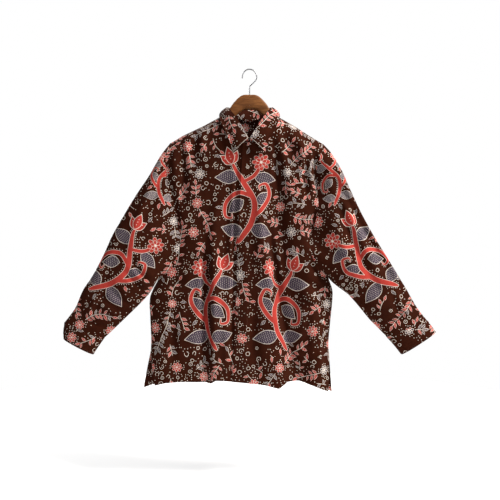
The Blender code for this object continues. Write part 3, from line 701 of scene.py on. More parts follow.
def smooth_curve(knots, values, at, corners=None):
    """A cubic through the knots, with its slope free to jump at each corner."""
    at = np.clip(np.asarray(at, dtype=float), knots[0], knots[-1])
    slopes = np.diff(values) / np.diff(knots)
    before = np.concatenate(([slopes[0]], slopes))
    after = np.concatenate((slopes, [slopes[-1]]))
    leaving = arriving = middle = 0.5 * (before + after)
    if corners is not None:
        leaving = np.where(corners > 0, after, middle)
        arriving = np.where(corners > 0, before, middle)
    i = np.clip(np.searchsorted(knots, at, side="right") - 1, 0, len(knots) - 2)
    step = knots[i + 1] - knots[i]
    u = (at - knots[i]) / step
    rise = values[i + 1] - values[i]
    bend_out = (leaving[i] * step - rise) * u * (1 - u) ** 2
    bend_in = (rise - arriving[i + 1] * step) * u ** 2 * (1 - u)
    return values[i] + rise * u + bend_out + bend_in


def by_row(table, name, at):
    """A column in metres at a place between rows, counted in rows."""
    values = column(table, name) * MM
    corners = column(table, "corner") if "corner" in table["columns"] else None
    return smooth_curve(np.arange(len(values), dtype=float), values, at, corners)


def rows_at(table, at):
    """Every column of a table but its corners, in metres, at places between its rows."""
    return [by_row(table, name, at) for name in table["columns"] if name != "corner"]


def unit(vectors):
    return vectors / np.linalg.norm(vectors, axis=-1, keepdims=True)


def smoothstep(value):
    value = np.clip(value, 0.0, 1.0)
    return value * value * (3.0 - 2.0 * value)


# ----------------------------------------------------------- form of the body
def section(name, z):
    return smooth_curve(column(BODY_SECTIONS, "z") * MM, column(BODY_SECTIONS, name), z)


def shoulder_z(x):
    return np.interp(x, column(SHOULDER_LINE, "x") * MM, column(SHOULDER_LINE, "z") * MM)


def centre_x(z):
    """Where the centre front lies at each height."""
    return CENTRE_HEM_X * (CENTRE_TOP_Z - z) / (CENTRE_TOP_Z - CENTRE_HEM_Z)


def fold_height(folds, x, z):
    """How far the large folds lift or sink the cloth at a place."""
    total = np.zeros_like(x)
    for row in folds["rows"]:
        x_top, x_middle, x_low, z_top, z_low, half_width, depth = (MM * v for v in row)
        down = np.clip((z_top - z) / (z_top - z_low), 0.0, 1.0)
        bend = x_middle - 0.5 * (x_top + x_low)
        across = x - (x_top + (x_low - x_top) * down + 4.0 * bend * down * (1.0 - down))
        widen = half_width * (FOLD_NARROW + FOLD_WIDENING * down)
        total = total + depth * smoothstep(down / FOLD_ONSET) * np.exp(-(across / widen) ** 2)
    return total


def crease_height(creases, x, z, side):
    """How far the soft creases lift or sink the cloth at a place, on one face."""
    total = np.zeros(np.broadcast(x, z, side).shape)
    for face, x_start, z_start, x_end, z_end, bow, half_width, depth in creases["rows"]:
        run = np.array([x_end - x_start, z_end - z_start]) * MM
        length = math.hypot(*run)
        along = run / length
        from_x, from_z = x - x_start * MM, z - z_start * MM
        share = np.clip((from_x * along[0] + from_z * along[1]) / length, 0.0, 1.0)
        across = from_z * along[0] - from_x * along[1] - 4.0 * MM * bow * share * (1.0 - share)
        widen = MM * half_width * (CREASE_NARROW + CREASE_WIDENING * share)
        form = np.exp(-(across / widen) ** 2)
        beside_it = np.exp(-((np.abs(across) - CREASE_BESIDE * widen) / widen) ** 2)
        strength = np.sin(math.pi * share ** CREASE_PEAK) * (side == face)
        total = total + MM * depth * strength * (form - CREASE_RETURN * beside_it)
    return total


def body_surface(x, z, side):
    """Depth of the middle of the cloth: side is -1 before the side seams, +1 behind."""
    left = section("left_edge", z) * MM
    right = section("right_edge", z) * MM
    reach = section("front" if side < 0 else "back", z) * MM
    across = np.clip(np.abs(2.0 * x - left - right) / (right - left), 0.0, 1.0)
    square = np.sqrt(1.0 - across ** section("power", z))
    below = np.clip((shoulder_z(x) - z) / SHOULDER_ROUND, 0.0, 1.0)
    turn = np.sqrt(1.0 - (1.0 - below) ** 2)
    folds = fold_height(FRONT_FOLDS if side < 0 else BACK_FOLDS, x, z)
    folds = folds + crease_height(BODY_CREASES, x, z, side)
    edge_fade = smoothstep((1.0 - across) / SIDE_FADE)
    return BODY_MID_Y + side * (0.5 * SEAM_GAP + square * turn * reach + folds * edge_fade * turn)


# --------------------------------------------------------------- cloth panels
def row_places(table):
    """Where a body panel's grid rows lie in its table."""
    last = len(table["rows"]) - 1
    return (np.arange(last * ROW_STEPS + 1) / ROW_STEPS)[:, None]


def hem_shift(table, hem, x, z, down):
    """How far the cloth near the hem moves down for the hem's own line to be met."""
    last = len(table["rows"]) - 1.0
    line = np.interp(x[-1:], column(hem, "x") * MM, column(hem, "z") * MM)
    return (line - z[-1:]) * smoothstep(down - (last - 1.0))


def front_points(table, sign, columns):
    """Grid of a front: sign is -1 for the wearer's right, +1 for the left."""
    down = row_places(table)
    out = 1.0 - (1.0 - np.linspace(0.0, 1.0, columns + 1)[None, :]) ** FRONT_CROWDING
    inner_x, inner_z, outer_x, outer_z = rows_at(table, down)
    x = inner_x + (outer_x - inner_x) * out
    z = inner_z + (outer_z - inner_z) * out
    inner_top, outer_top = shoulder_z(inner_x), shoulder_z(outer_x)
    seam = shoulder_z(x) - (inner_top + (outer_top - inner_top) * out)
    z = z + seam * (1.0 - smoothstep(down / FRONT_SHOULDER_ROWS))
    z = z + hem_shift(table, FRONT_HEM, x, z, down)
    y = body_surface(x, z, -1)
    if sign > 0:
        reach = (x - centre_x(z) + FRONT_OVERLAP) / OVERLAP_BLEND
        lift = OVERLAP_LIFT * (1.0 - smoothstep((reach - OVERLAP_WHOLE) / (1.0 - OVERLAP_WHOLE)))
        y = y - lift * smoothstep((shoulder_z(x) - z) / OVERLAP_SHOULDER)
    return np.stack([x, y, z], axis=-1)


def back_points(columns):
    """Grid of the back, from the wearer's right to the left."""
    down = row_places(BACK)
    turn = np.linspace(-1.0, 1.0, columns + 1)[None, :]
    across = np.sign(turn) * (1.0 - (1.0 - np.abs(turn)) ** BACK_CROWDING)
    right_x, right_z, left_x, left_z = rows_at(BACK, down)
    x = 0.5 * (right_x + left_x) + 0.5 * (left_x - right_x) * across
    z = 0.5 * (right_z + left_z) + 0.5 * (left_z - right_z) * across
    neck_drop = np.clip(1.0 - (x / BACK_NECK_HALF) ** 2, 0.0, 1.0)
    neck_z = BACK_NECK_SIDE_Z + (BACK_NECK_CENTRE_Z - BACK_NECK_SIDE_Z) * neck_drop
    top_z = np.where(np.abs(x) < BACK_NECK_HALF, neck_z, shoulder_z(x))
    z = z + (top_z - z[:1]) * (1.0 - smoothstep(down / BACK_SHOULDER_ROWS))
    z = z + hem_shift(BACK, BACK_HEM, x, z, down)
    return np.stack([x, body_surface(x, z, 1), z], axis=-1)


def edge_place(table, edge, at):
    return by_row(table, edge + "_x", at), by_row(table, edge + "_z", at)


def armhole(table, edge, sign, share, side):
    """A point of the sleeve's seam: share runs from the shoulder to the underarm."""
    last = float(table["underarm"])
    at = share * last
    x, z = edge_place(table, edge, at)
    x_ahead, z_ahead = edge_place(table, edge, np.minimum(at + SEAM_STEP, last))
    x_behind, z_behind = edge_place(table, edge, np.maximum(at - SEAM_STEP, 0.0))
    along_x, along_z = x_ahead - x_behind, z_ahead - z_behind
    length = np.hypot(along_x, along_z)
    gap = ARMHOLE_GAP + (ARMHOLE_END_GAP - ARMHOLE_GAP) * (2.0 * share - 1.0) ** 8
    return (x - sign * gap * along_z / length, body_surface(x, z, side),
            z + sign * gap * along_x / length)


def ring_stations():
    """Stations around a sleeve: shares across it, and -1 in front or +1 behind."""
    front = 0.5 - 0.5 * np.cos(np.linspace(0.0, math.pi, FRONT_SHARES))
    behind = front[-2:0:-1]
    shares = np.concatenate((front, behind))[None, :]
    sides = np.concatenate((-np.ones_like(front), np.ones_like(behind)))[None, :]
    return shares, sides


def ring_points(table, at, share, side):
    """Points of a flat ring: share runs across it from its outer to its inner edge."""
    outer_x, outer_z, inner_x, inner_z, middle, half = rows_at(table, at)
    thick = (1.0 - np.abs(1.0 - 2.0 * share) ** RING_SQUARE) ** 0.5
    return (outer_x + (inner_x - outer_x) * share, middle + side * half * thick,
            outer_z + (inner_z - outer_z) * share)


def sleeve_folds(folds, at, share, side):
    """How far the long folds lift or sink a sleeve's cloth, outward."""
    total = np.zeros(np.broadcast(at, share).shape)
    for face, start, end, share_start, share_end, half_width, depth in folds["rows"]:
        along = np.clip((at - start) / (end - start), 0.0, 1.0)
        across = share - (share_start + (share_end - share_start) * along)
        strength = np.sin(math.pi * along) * (side == face)
        total = total + MM * depth * strength * np.exp(-(across / half_width) ** 2)
    return total


def sleeve_points(table, folds, front_table, back_edge, sign):
    """Grid of a sleeve: closed around, open at the armhole and at the cuff."""
    last = len(table["rows"]) - 1.0
    at = np.linspace(0.0, last, SLEEVE_ROWS + 1)[:, None]
    share, side = ring_stations()
    x, y, z = ring_points(table, at, share, side)
    y = y + side * sleeve_folds(folds, at, share, side)
    fading = smoothstep(at / SEAM_CLEAR_ROWS) * smoothstep((last - at) / SEAM_CLEAR_ROWS)
    at_edge = smoothstep((0.5 - np.abs(share - 0.5)) / CREASE_EDGE)
    y = y + side * crease_height(SLEEVE_CREASES, x, z, side) * fading * at_edge
    first = ring_points(table, np.zeros((1, 1)), share, side)
    front = armhole(front_table, "outer", sign, share, -1)
    back = armhole(BACK, back_edge, sign, share, 1)
    fade = np.clip(1.0 - at / ARMHOLE_RINGS, 0.0, 1.0) ** 2
    return np.stack([value + fade * (np.where(side < 0, before, behind) - ring)
                     for value, before, behind, ring in zip((x, y, z), front, back, first)],
                    axis=-1)


def cuff_points(table):
    at = np.linspace(0.0, len(table["rows"]) - 1.0, CUFF_ROWS + 1)[:, None]
    share, side = ring_stations()
    return np.stack(ring_points(table, at, share, side), axis=-1)


# --------------------------------------------------------------------- collar
def collar_lines(columns):
    """The collar's neck seam, fold and free edge, from one front end to the other."""
    turn = np.linspace(-1.0, 1.0, columns + 1)
    at = (len(COLLAR["rows"]) - 1) * (1.0 - np.abs(turn))
    sign = np.where(turn < 0.0, -1.0, 1.0)
    neck_x, neck_z, fold_x, fold_y, fold_z, edge_x, edge_y, edge_z = rows_at(COLLAR, at)
    neck_y = np.where(at <= COLLAR["shoulder"], body_surface(sign * neck_x, neck_z, -1),
                      body_surface(sign * neck_x, neck_z, 1))
    return [np.stack([sign * x, y, z], axis=-1) for x, y, z in
            ((neck_x, neck_y, neck_z), (fold_x, fold_y, fold_z), (edge_x, edge_y, edge_z))]


def outward(points):
    """Unit directions away from the neck's axis, level with the ground."""
    return unit(points * np.array([1.0, 1.0, 0.0]))


def stand_points(columns, rows):
    neck, fold, _ = collar_lines(columns)
    foot = neck - outward(neck) * STAND_INSET + np.array([0.0, 0.0, NECK_GAP])
    up = np.linspace(0.0, 1.0, rows + 1)[:, None, None]
    return foot + (fold - foot) * up


def fall_points(columns, rows):
    _, fold, edge = collar_lines(columns)
    top = fold + outward(fold) * COLLAR_FOLD_GAP
    down = np.linspace(0.0, 1.0, rows + 1)[:, None, None] ** FALL_CROWDING
    bulge = 4.0 * FALL_BULGE * down * (1.0 - down)
    points = top + (edge - top) * down + outward(fold) * bulge
    x, y, z = np.moveaxis(points, -1, 0)
    lift = COLLAR_LIFT * down[..., 0] ** 2
    over_front = np.minimum(y, body_surface(x, z, -1) - OVERLAP_LIFT - COLLAR_REST - lift)
    over_back = np.maximum(y, body_surface(x, z, 1) + COLLAR_REST)
    on_body = z < shoulder_z(x)
    y = np.where(on_body & (y < BODY_MID_Y), over_front, np.where(on_body, over_back, y))
    return np.stack([x, y, z], axis=-1)


# --------------------------------------------------------------------- hanger
def arm_points(sign):
    """One half of the wooden hanger: rings of a rounded section along the arm."""
    at = np.linspace(0.0, len(HANGER_ARM["rows"]) - 1, WOOD_STATIONS + 1)[:, None]
    out, free_top, depth, half, under = rows_at(HANGER_ARM, at)
    out = out + WOOD_JOINT_GAP * 0.5 * (at == 0.0)
    top = free_top + under / MM * (shoulder_z(sign * out) - WOOD_CLEARANCE - free_top)
    angle = np.linspace(0.0, 2.0 * math.pi, WOOD_SIDES, endpoint=False)[None, :]
    across, up = (np.sign(way) * np.abs(way) ** WOOD_SQUARE
                  for way in (np.sin(angle), np.cos(angle)))
    x = sign * out + np.zeros_like(angle)
    points = np.stack([x, half * across, top - 0.5 * depth + 0.5 * depth * up], axis=-1)
    return points[:, ::-1] if sign > 0 else points


def hook_line():
    """The hook's centre line, out of the wood and round to its tip."""
    centre_z = HOOK_WIRE_RADIUS - HOOK_RADIUS
    rise = (HOOK_STEM_TOP - WOOD_TOP) / HOOK_STEM_STEPS
    line = [(0.0, WOOD_TOP + HOOK_SOCKET_GAP)]
    line += [(0.0, WOOD_TOP + rise * step) for step in range(1, HOOK_STEM_STEPS + 1)]
    for degrees in np.linspace(HOOK_START_ANGLE, HOOK_END_ANGLE, HOOK_STEPS + 1):
        angle = math.radians(degrees)
        line.append((HOOK_RADIUS * math.cos(angle), centre_z + HOOK_RADIUS * math.sin(angle)))
    return line


# -------------------------------------------------------------- rolling it out
def cross(u, v):
    """Twice the areas between pairs of flat vectors."""
    return u[..., 0] * v[..., 1] - u[..., 1] * v[..., 0]


def triangles_of(rows, columns):
    """Corner numbers of the triangles of a grid, with the diagonals turned about."""
    row, span = np.meshgrid(np.arange(rows - 1), np.arange(columns - 1), indexing="ij")
    a = (row * columns + span).ravel()
    b, c, d = a + 1, a + columns + 1, a + columns
    odd = ((row + span) % 2 == 1).ravel()
    first = np.where(odd[:, None], np.stack([a, b, d], 1), np.stack([a, b, c], 1))
    second = np.where(odd[:, None], np.stack([b, c, d], 1), np.stack([a, c, d], 1))
    return np.concatenate([first, second])


def roll_out(points, start):
    """Flat places of a grid's points with the cloth's lengths kept as well as they can be.

    Each round turns every triangle's true shape to lie best on the last places, and then
    finds the places that suit all the triangles.
    """
    rows, columns = points.shape[:2]
    count = rows * columns
    tris = triangles_of(rows, columns)
    p0, p1, p2 = (points.reshape(-1, 3)[tris[:, k]] for k in range(3))
    length = np.linalg.norm(p1 - p0, axis=1)
    along = (p1 - p0) / length[:, None]
    foot = np.sum((p2 - p0) * along, axis=1)
    rise = np.linalg.norm(p2 - p0 - foot[:, None] * along, axis=1)
    zero = 0.0 * length
    flat = np.stack([zero, zero, length, zero, foot, rise], 1).reshape(-1, 3, 2)
    first = start.reshape(-1, 2)
    a, b, c = (first[tris[:, k]] for k in range(3))
    if np.sum(cross(b - a, c - a)) < 0:
        flat[:, :, 1] *= -1.0
    sides = []
    matrix = np.zeros((count, count))
    for i, j, k in ((0, 1, 2), (1, 2, 0), (2, 0, 1)):
        u, v = flat[:, i] - flat[:, k], flat[:, j] - flat[:, k]
        weight = np.maximum(0.5 * np.sum(u * v, axis=1) / np.abs(cross(u, v)), LEAST_WEIGHT)
        a, b = tris[:, i], tris[:, j]
        sides.append((a, b, weight[:, None], flat[:, i] - flat[:, j]))
        for row, span, value in ((a, a, weight), (b, b, weight), (a, b, -weight), (b, a, -weight)):
            np.add.at(matrix, (row, span), value)
    matrix[0, 0] += 1.0
    solve = np.linalg.inv(matrix)
    now = first
    for _ in range(ROLL_ROUNDS):
        spread = sum((weight * (now[a] - now[b]))[:, :, None] * side[:, None, :]
                     for a, b, weight, side in sides)
        angle = np.arctan2(spread[:, 1, 0] - spread[:, 0, 1], spread[:, 0, 0] + spread[:, 1, 1])
        cos, sin = np.cos(angle), np.sin(angle)
        pull = np.zeros((count, 2))
        for a, b, weight, side in sides:
            u, v = side[:, 0], side[:, 1]
            turned = np.stack([cos * u - sin * v, sin * u + cos * v], 1) * weight
            np.add.at(pull, a, turned)
            np.add.at(pull, b, -turned)
        pull[0] += first[0]
        now = solve @ pull
    return now.reshape(rows, columns, 2)


def refine(values, steps):
    """A smooth fill of a coarse grid to one with that many steps a cell."""
    for axis, step in enumerate(steps):
        knots = np.arange(values.shape[axis], dtype=float)
        at = np.arange((len(knots) - 1) * step + 1) / step
        values = np.apply_along_axis(lambda line: smooth_curve(knots, line, at), axis, values)
    return values


def band_start(points):
    """A first guess for a band: lengths along its middle row, and down its columns."""
    middle = points[len(points) // 2]
    run = np.concatenate([[0.0], np.cumsum(np.linalg.norm(np.diff(middle, axis=0), axis=1))])
    fall = np.linalg.norm(np.diff(points, axis=0), axis=2)
    drop = np.concatenate([np.zeros((1, points.shape[1])), np.cumsum(fall, axis=0)])
    return np.stack([np.broadcast_to(run, drop.shape), -drop], axis=-1)


def seen_start(points):
    """A first guess for a panel: as it is seen from the front."""
    return points[..., [0, 2]].copy()


def opened_start(points):
    """A first guess for a tube cut at its inner edge: its back turned over its outer edge."""
    half = points.shape[1] // 2
    seen = seen_start(points)
    top, low = seen[0, half], seen[-1, half]
    axis = unit(low - top)
    offset = seen[:, half:] - top
    along = (offset @ axis)[..., None] * axis
    seen[:, half:] = top + along - (offset - along)
    return seen


# ------------------------------------------------------------- cloth as a mesh
def bilinear(grid, at):
    """Values of a grid at places given in rows and columns, and their slopes."""
    rows, columns = grid.shape[:2]
    i = np.clip(np.floor(at[:, 0]).astype(int), 0, rows - 2)
    j = np.clip(np.floor(at[:, 1]).astype(int), 0, columns - 2)
    u = (at[:, 0] - i)[:, None]
    v = (at[:, 1] - j)[:, None]
    a, b = grid[i, j], grid[i, j + 1]
    c, d = grid[i + 1, j], grid[i + 1, j + 1]
    value = a * (1 - u) * (1 - v) + b * (1 - u) * v + c * u * (1 - v) + d * u * v
    return value, (c - a) * (1 - v) + (d - b) * v, (b - a) * (1 - u) + (d - c) * u


def find_places(flat, wanted):
    """Rows and columns in the grid of flat places at which the wanted places lie."""
    rows, columns = flat.shape[:2]
    tree = KDTree(rows * columns)
    for k, (u, v) in enumerate(flat.reshape(-1, 2).tolist()):
        tree.insert((u, v, 0.0), k)
    tree.balance()
    near = np.array([tree.find((u, v, 0.0))[1] for u, v in wanted.tolist()])
    at = np.stack([near // columns, near % columns], 1).astype(float)
    top = np.array([rows - 1.0, columns - 1.0])
    for _ in range(FIND_ROUNDS):
        value, du, dv = bilinear(flat, at)
        miss = wanted - value
        det = cross(du, dv)
        det = np.where(np.abs(det) < FLAT_CELL, FLAT_CELL, det)
        step = np.stack([cross(miss, dv) / det, cross(du, miss) / det], 1)
        at = np.clip(at + np.clip(step, -FIND_REACH, FIND_REACH), 0.0, top)
    return at


def grid_normals(points, away):
    """Unit normals of a grid, on the side that the directions away point to."""
    normal = np.cross(np.gradient(points, axis=1), np.gradient(points, axis=0))
    normal = normal / np.maximum(np.linalg.norm(normal, axis=-1, keepdims=True), LEAST_LENGTH)
    return -normal if np.sum(normal * away) < 0 else normal


def outline_of(flat):
    """The cut's edge, once round the grid."""
    edge = np.concatenate([flat[0, :-1], flat[:-1, -1], flat[-1, :0:-1], flat[:0:-1, 0]])
    kept = [edge[0]]
    for place in edge[1:]:
        if np.linalg.norm(place - kept[-1]) > EDGE_STEP:
            kept.append(place)
    if np.linalg.norm(kept[-1] - kept[0]) < 0.5 * EDGE_STEP:
        kept.pop()
    loop = np.array(kept)
    return loop if signed_area(loop) > 0 else loop[::-1]


def signed_area(loop):
    x, y = loop[:, 0], loop[:, 1]
    return 0.5 * float(np.sum(x * np.roll(y, -1) - y * np.roll(x, -1)))


def inside(loop, places):
    """Which places lie within a closed loop."""
    result = np.zeros(len(places), dtype=bool)
    x, y = places[:, 0], places[:, 1]
    for (x0, y0), (x1, y1) in zip(loop, np.roll(loop, -1, axis=0)):
        if y0 == y1:
            continue
        crossing = (y0 > y) != (y1 > y)
        result ^= crossing & (x < (x1 - x0) * (y - y0) / (y1 - y0) + x0)
    return result


def cut_cloth(loop, shapes):
    """Triangles of a cut with its printed shapes, and each triangle's colour."""
    low, high = loop.min(axis=0), loop.max(axis=0)
    places = [tuple(p) for p in loop.tolist()]
    faces = [list(range(len(places)))]
    colours = ["ground"]
    for outline, colour in shapes:
        first = len(places)
        places.extend(map(tuple, outline))
        faces.append(list(range(first, len(places))))
        colours.append(colour)
    u, v = np.meshgrid(np.arange(low[0] + 0.5 * GRAIN_STEP, high[0], GRAIN_STEP),
                       np.arange(low[1] + 0.5 * GRAIN_STEP, high[1], GRAIN_STEP))
    u[::2] += 0.25 * GRAIN_STEP
    u[1::2] -= 0.25 * GRAIN_STEP
    free = np.stack([u.ravel(), v.ravel()], 1)
    places.extend(map(tuple, free[inside(loop, free)].tolist()))
    corners, _, found, _, _, owners = delaunay_2d_cdt([Vector(p) for p in places], [], faces, 0,
                                                      MERGE, True)
    flat = np.array([tuple(p) for p in corners])
    # A triangle outside the cut has no owner 0, and the last shape painted lies on top.
    kept = [k for k, ids in enumerate(owners) if ids and min(ids) == 0]
    tris = np.array([found[k] for k in kept])
    a, b, c = (flat[tris[:, k]] for k in range(3))
    turned = cross(b - a, c - a) < 0
    tris[turned] = tris[turned][:, ::-1]
    used, tris_used = np.unique(tris, return_inverse=True)
    return flat[used], tris_used.reshape(tris.shape), [colours[max(owners[k])] for k in kept]


def edge_of(tris):
    """The corners round the edge of a triangulated cut, in order."""
    edges = np.concatenate([tris[:, [0, 1]], tris[:, [1, 2]], tris[:, [2, 0]]])
    _, index, times = np.unique(np.sort(edges, axis=1), axis=0, return_index=True,
                                return_counts=True)
    after = dict(edges[index[times == 1]].tolist())
    start = min(after)
    ring = [start]
    while after[ring[-1]] != start:
        ring.append(after[ring[-1]])
    if len(ring) != len(after):
        raise RuntimeError("a cut has a hole in it")
    return np.array(ring)


def fill(data, field, values):
    data.foreach_set(field, np.asarray(values, dtype=np.float32).ravel())


def add_object(name, mesh, look):
    mesh.materials.append(look)
    item = bpy.data.objects.new(name, mesh)
    bpy.context.scene.collection.objects.link(item)
    return item


def make_shell(name, points, flat, loop, shapes, wall, away):
    """A printed piece of cloth: both faces, dyed through, and the cut edge between them."""
    cut, tris, colour = cut_cloth(loop, shapes)
    ring = edge_of(tris)
    at = find_places(flat, cut)
    place = bilinear(points, at)[0]
    normal = unit(bilinear(grid_normals(points, away), at)[0])
    p0, p1, p2 = (place[tris[:, k]] for k in range(3))
    if np.sum(np.cross(p1 - p0, p2 - p0) * normal[tris[:, 0]]) < 0:
        tris, ring = tris[:, ::-1], ring[::-1]
    count = len(place)
    vertices = np.concatenate([place + 0.5 * wall * normal, place - 0.5 * wall * normal])
    after = np.roll(ring, -1)
    quads = np.stack([after, ring, ring + count, after + count], 1)
    corners = np.concatenate([tris.ravel(), (tris[:, ::-1] + count).ravel(), quads.ravel()])
    sizes = np.concatenate([np.full(2 * len(tris), 3), np.full(len(quads), 4)])
    mesh = bpy.data.meshes.new(name)
    mesh.vertices.add(len(vertices))
    fill(mesh.vertices, "co", vertices)
    mesh.loops.add(len(corners))
    mesh.loops.foreach_set("vertex_index", corners.astype(np.int32))
    mesh.polygons.add(len(sizes))
    starts = np.concatenate([[0], np.cumsum(sizes)[:-1]])
    mesh.polygons.foreach_set("loop_start", starts.astype(np.int32))
    mesh.update(calc_edges=True)
    mesh.shade_smooth()
    dyed = [(*PRINT_COLOURS[c], 1.0) for c in colour]
    of_face = np.array(dyed + dyed + [(*PRINT_COLOURS["ground"], 1.0)] * len(quads))
    fill(mesh.attributes.new("dye", "FLOAT_COLOR", "CORNER").data, "color",
         np.repeat(of_face, sizes, axis=0))
    on_rim = np.arange(len(corners)) >= 6 * len(tris)
    far = (on_rim & (corners >= count))[:, None]
    beyond = unit(cut - loop.mean(axis=0))[corners % count] * wall
    uv = cut[corners % count] + np.where(far, beyond, 0.0) - loop.min(axis=0)
    uv = BAKE_MARGIN + (1.0 - 2.0 * BAKE_MARGIN) * uv / np.ptp(loop, axis=0).max()
    fill(mesh.uv_layers.new(name="OFBake").data, "uv", uv)
    ends = np.zeros(2 * len(mesh.edges), dtype=np.int32)
    mesh.edges.foreach_get("vertices", ends)
    ends = np.sort(ends.reshape(-1, 2), axis=1).astype(np.int64)
    rims = np.sort(np.stack([ring, after], 1), axis=1)
    rims = np.concatenate([rims, rims + count])
    total = len(vertices)
    marks = np.isin(ends[:, 0] * total + ends[:, 1], rims[:, 0] * total + rims[:, 1])
    mesh.attributes.new("sharp_edge", "BOOLEAN", "EDGE").data.foreach_set("value", marks)
    yarns = np.concatenate([np.concatenate([cut, cut]), np.zeros((2 * count, 1))], 1)
    fill(mesh.attributes.new("cut", "FLOAT_VECTOR", "POINT").data, "vector", yarns)
    return add_object(name, mesh, CLOTH)


# ------------------------------------------------------------------- stitching
def inward_line(points, normals, distance):
    """A line through the cloth at one distance in from the grid's first row."""
    run = np.cumsum(np.linalg.norm(np.diff(points, axis=0), axis=2), axis=0)
    run = np.concatenate([np.zeros((1, points.shape[1])), run])
    spots, ups = [], []
    for span in range(points.shape[1]):
        at = float(np.interp(distance, run[:, span], np.arange(len(run))))
        k = min(int(at), len(run) - 2)
        share = at - k
        for found, grid in ((spots, points), (ups, normals)):
            found.append((1 - share) * grid[k, span] + share * grid[k + 1, span])
    return np.array(spots), np.array(ups)


def stitches_along(spots, ups, lift):
    """Corners and faces of a row of stitches, each a small pointed grain of thread."""
    run = np.concatenate([[0.0], np.cumsum(np.linalg.norm(np.diff(spots, axis=0), axis=1))])
    starts = np.arange(EDGE_IN, run[-1] - EDGE_IN - STITCH, STITCH + STITCH_GAP)
    corners, faces = [], []
    for start in starts:
        ends = [np.array([np.interp(start + part * STITCH, run, spots[:, k]) for k in range(3)])
                for part in (0.0, 0.5, 1.0)]
        up = np.array([np.interp(start + 0.5 * STITCH, run, ups[:, k]) for k in range(3)])
        up = up / np.linalg.norm(up)
        ahead = ends[2] - ends[0]
        across = np.cross(up, ahead)
        across = across / np.linalg.norm(across) * THREAD_RADIUS
        middle = ends[1] + lift * up
        first = len(corners)
        low = 0.5 * THREAD_RADIUS * up
        corners += [ends[0] + (lift - THREAD_RADIUS) * up, middle + across - low,
                    middle + THREAD_RADIUS * up, middle - across - low,
                    ends[2] + (lift - THREAD_RADIUS) * up, middle - 2.0 * low]
        for a, b in ((1, 2), (2, 3), (3, 5), (5, 1)):
            faces.append((first, first + b, first + a))
            faces.append((first + 4, first + a, first + b))
    return corners, faces


def add_stitches(name, lines):
    """One piece of thread made of rows of stitches: grids, how far in, and their walls."""
    corners, faces = [], []
    for points, away, distance, wall in lines:
        seam = inward_line(points, grid_normals(points, away), distance)
        more, tris = stitches_along(*seam, 0.5 * wall)
        faces += [tuple(len(corners) + k for k in tri) for tri in tris]
        corners += [tuple(corner) for corner in more]
    item = mesh_object(name, corners, faces, THREAD)
    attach(item, "root")
    return item


# -------------------------------------------------------------- printed cloth
class Layout:
    """The shapes printed on one cut, in paint order, and which ground they have taken."""

    def __init__(self, loop, seed):
        self.cut_low, self.cut_high = loop.min(axis=0), loop.max(axis=0)
        self.low = self.cut_low - LAYOUT_MARGIN
        size = np.ceil((self.cut_high + LAYOUT_MARGIN - self.low) / CELL).astype(int) + 1
        self.taken = np.zeros((size[0], size[1]), dtype=bool)
        self.random = random.Random(seed)
        self.shapes = []

    def window(self, place, radius):
        i = int((place[0] - self.low[0]) / CELL)
        j = int((place[1] - self.low[1]) / CELL)
        r = max(1, int(round(radius / CELL)))
        return (slice(max(0, i - r), max(0, i + r + 1)), slice(max(0, j - r), max(0, j + r + 1)))

    def free(self, place, radius):
        return not self.taken[self.window(place, radius)].any()

    def take(self, place, radius):
        self.taken[self.window(place, radius)] = True

    def paint(self, outline, colour):
        if signed_area(np.array(outline)) <= 0:
            outline = outline[::-1]
        self.shapes.append((outline, colour))

    def tries(self, count):
        """Random places on the cut, each drawn when it is asked for."""
        for _ in range(int(count)):
            yield (self.random.uniform(self.cut_low[0], self.cut_high[0]),
                   self.random.uniform(self.cut_low[1], self.cut_high[1]))


def put(points, place, angle, size=1.0, flip=1.0):
    """Points of a motif moved from its own place to one on the cut."""
    cos, sin = math.cos(angle) * size, math.sin(angle) * size
    return [(place[0] + cos * x - sin * flip * y, place[1] + sin * x + cos * flip * y)
            for x, y in points]


def beside(place, angle, distance):
    return place[0] + math.cos(angle) * distance, place[1] + math.sin(angle) * distance


def round_points(radius_x, radius_y, count, start=0.0):
    return [(radius_x * math.cos(start + 2.0 * math.pi * k / count),
             radius_y * math.sin(start + 2.0 * math.pi * k / count)) for k in range(count)]


def leaf_points(length, width, grow=0.0, side_points=3, droop=LEAF_DROOP):
    """A pointed leaf from its stalk at the origin along +X."""
    upper, lower = [], []
    for k in range(1, side_points + 1):
        share = k / (side_points + 1.0)
        half = 0.5 * width * math.sin(math.pi * share ** LEAF_PEAK) + grow
        bend = droop * length * share * share
        upper.append((length * share, bend + half))
        lower.append((length * share, bend - half))
    return [(-grow, 0.0)] + lower + [(length + 1.6 * grow, droop * length)] + upper[::-1]


def stroke_points(line, widths, grow=0.0):
    """A band of varying width along a line, with blunt ends."""
    count = len(line)
    left, right = [], []
    for k, (x, y) in enumerate(line):
        x0, y0 = line[max(0, k - 1)]
        x1, y1 = line[min(count - 1, k + 1)]
        run = math.hypot(x1 - x0, y1 - y0)
        nx, ny = -(y1 - y0) / run, (x1 - x0) / run
        half = 0.5 * widths[k] + grow
        ahead = -grow if k == 0 else (grow if k == count - 1 else 0.0)
        left.append((x + nx * half + ahead * ny, y + ny * half - ahead * nx))
        right.append((x - nx * half + ahead * ny, y - ny * half - ahead * nx))
    return right + left[::-1]


def direction(start, end):
    return math.atan2(end[1] - start[1], end[0] - start[0])


def curve_through(knots, steps):
    """A smooth line through a few points, with a width carried along as a third number."""
    at = np.arange(len(knots), dtype=float)
    fine = np.linspace(0.0, len(knots) - 1.0, (len(knots) - 1) * steps + 1)
    values = np.array(knots, dtype=float).T
    return np.stack([smooth_curve(at, line, fine) for line in values], 1)


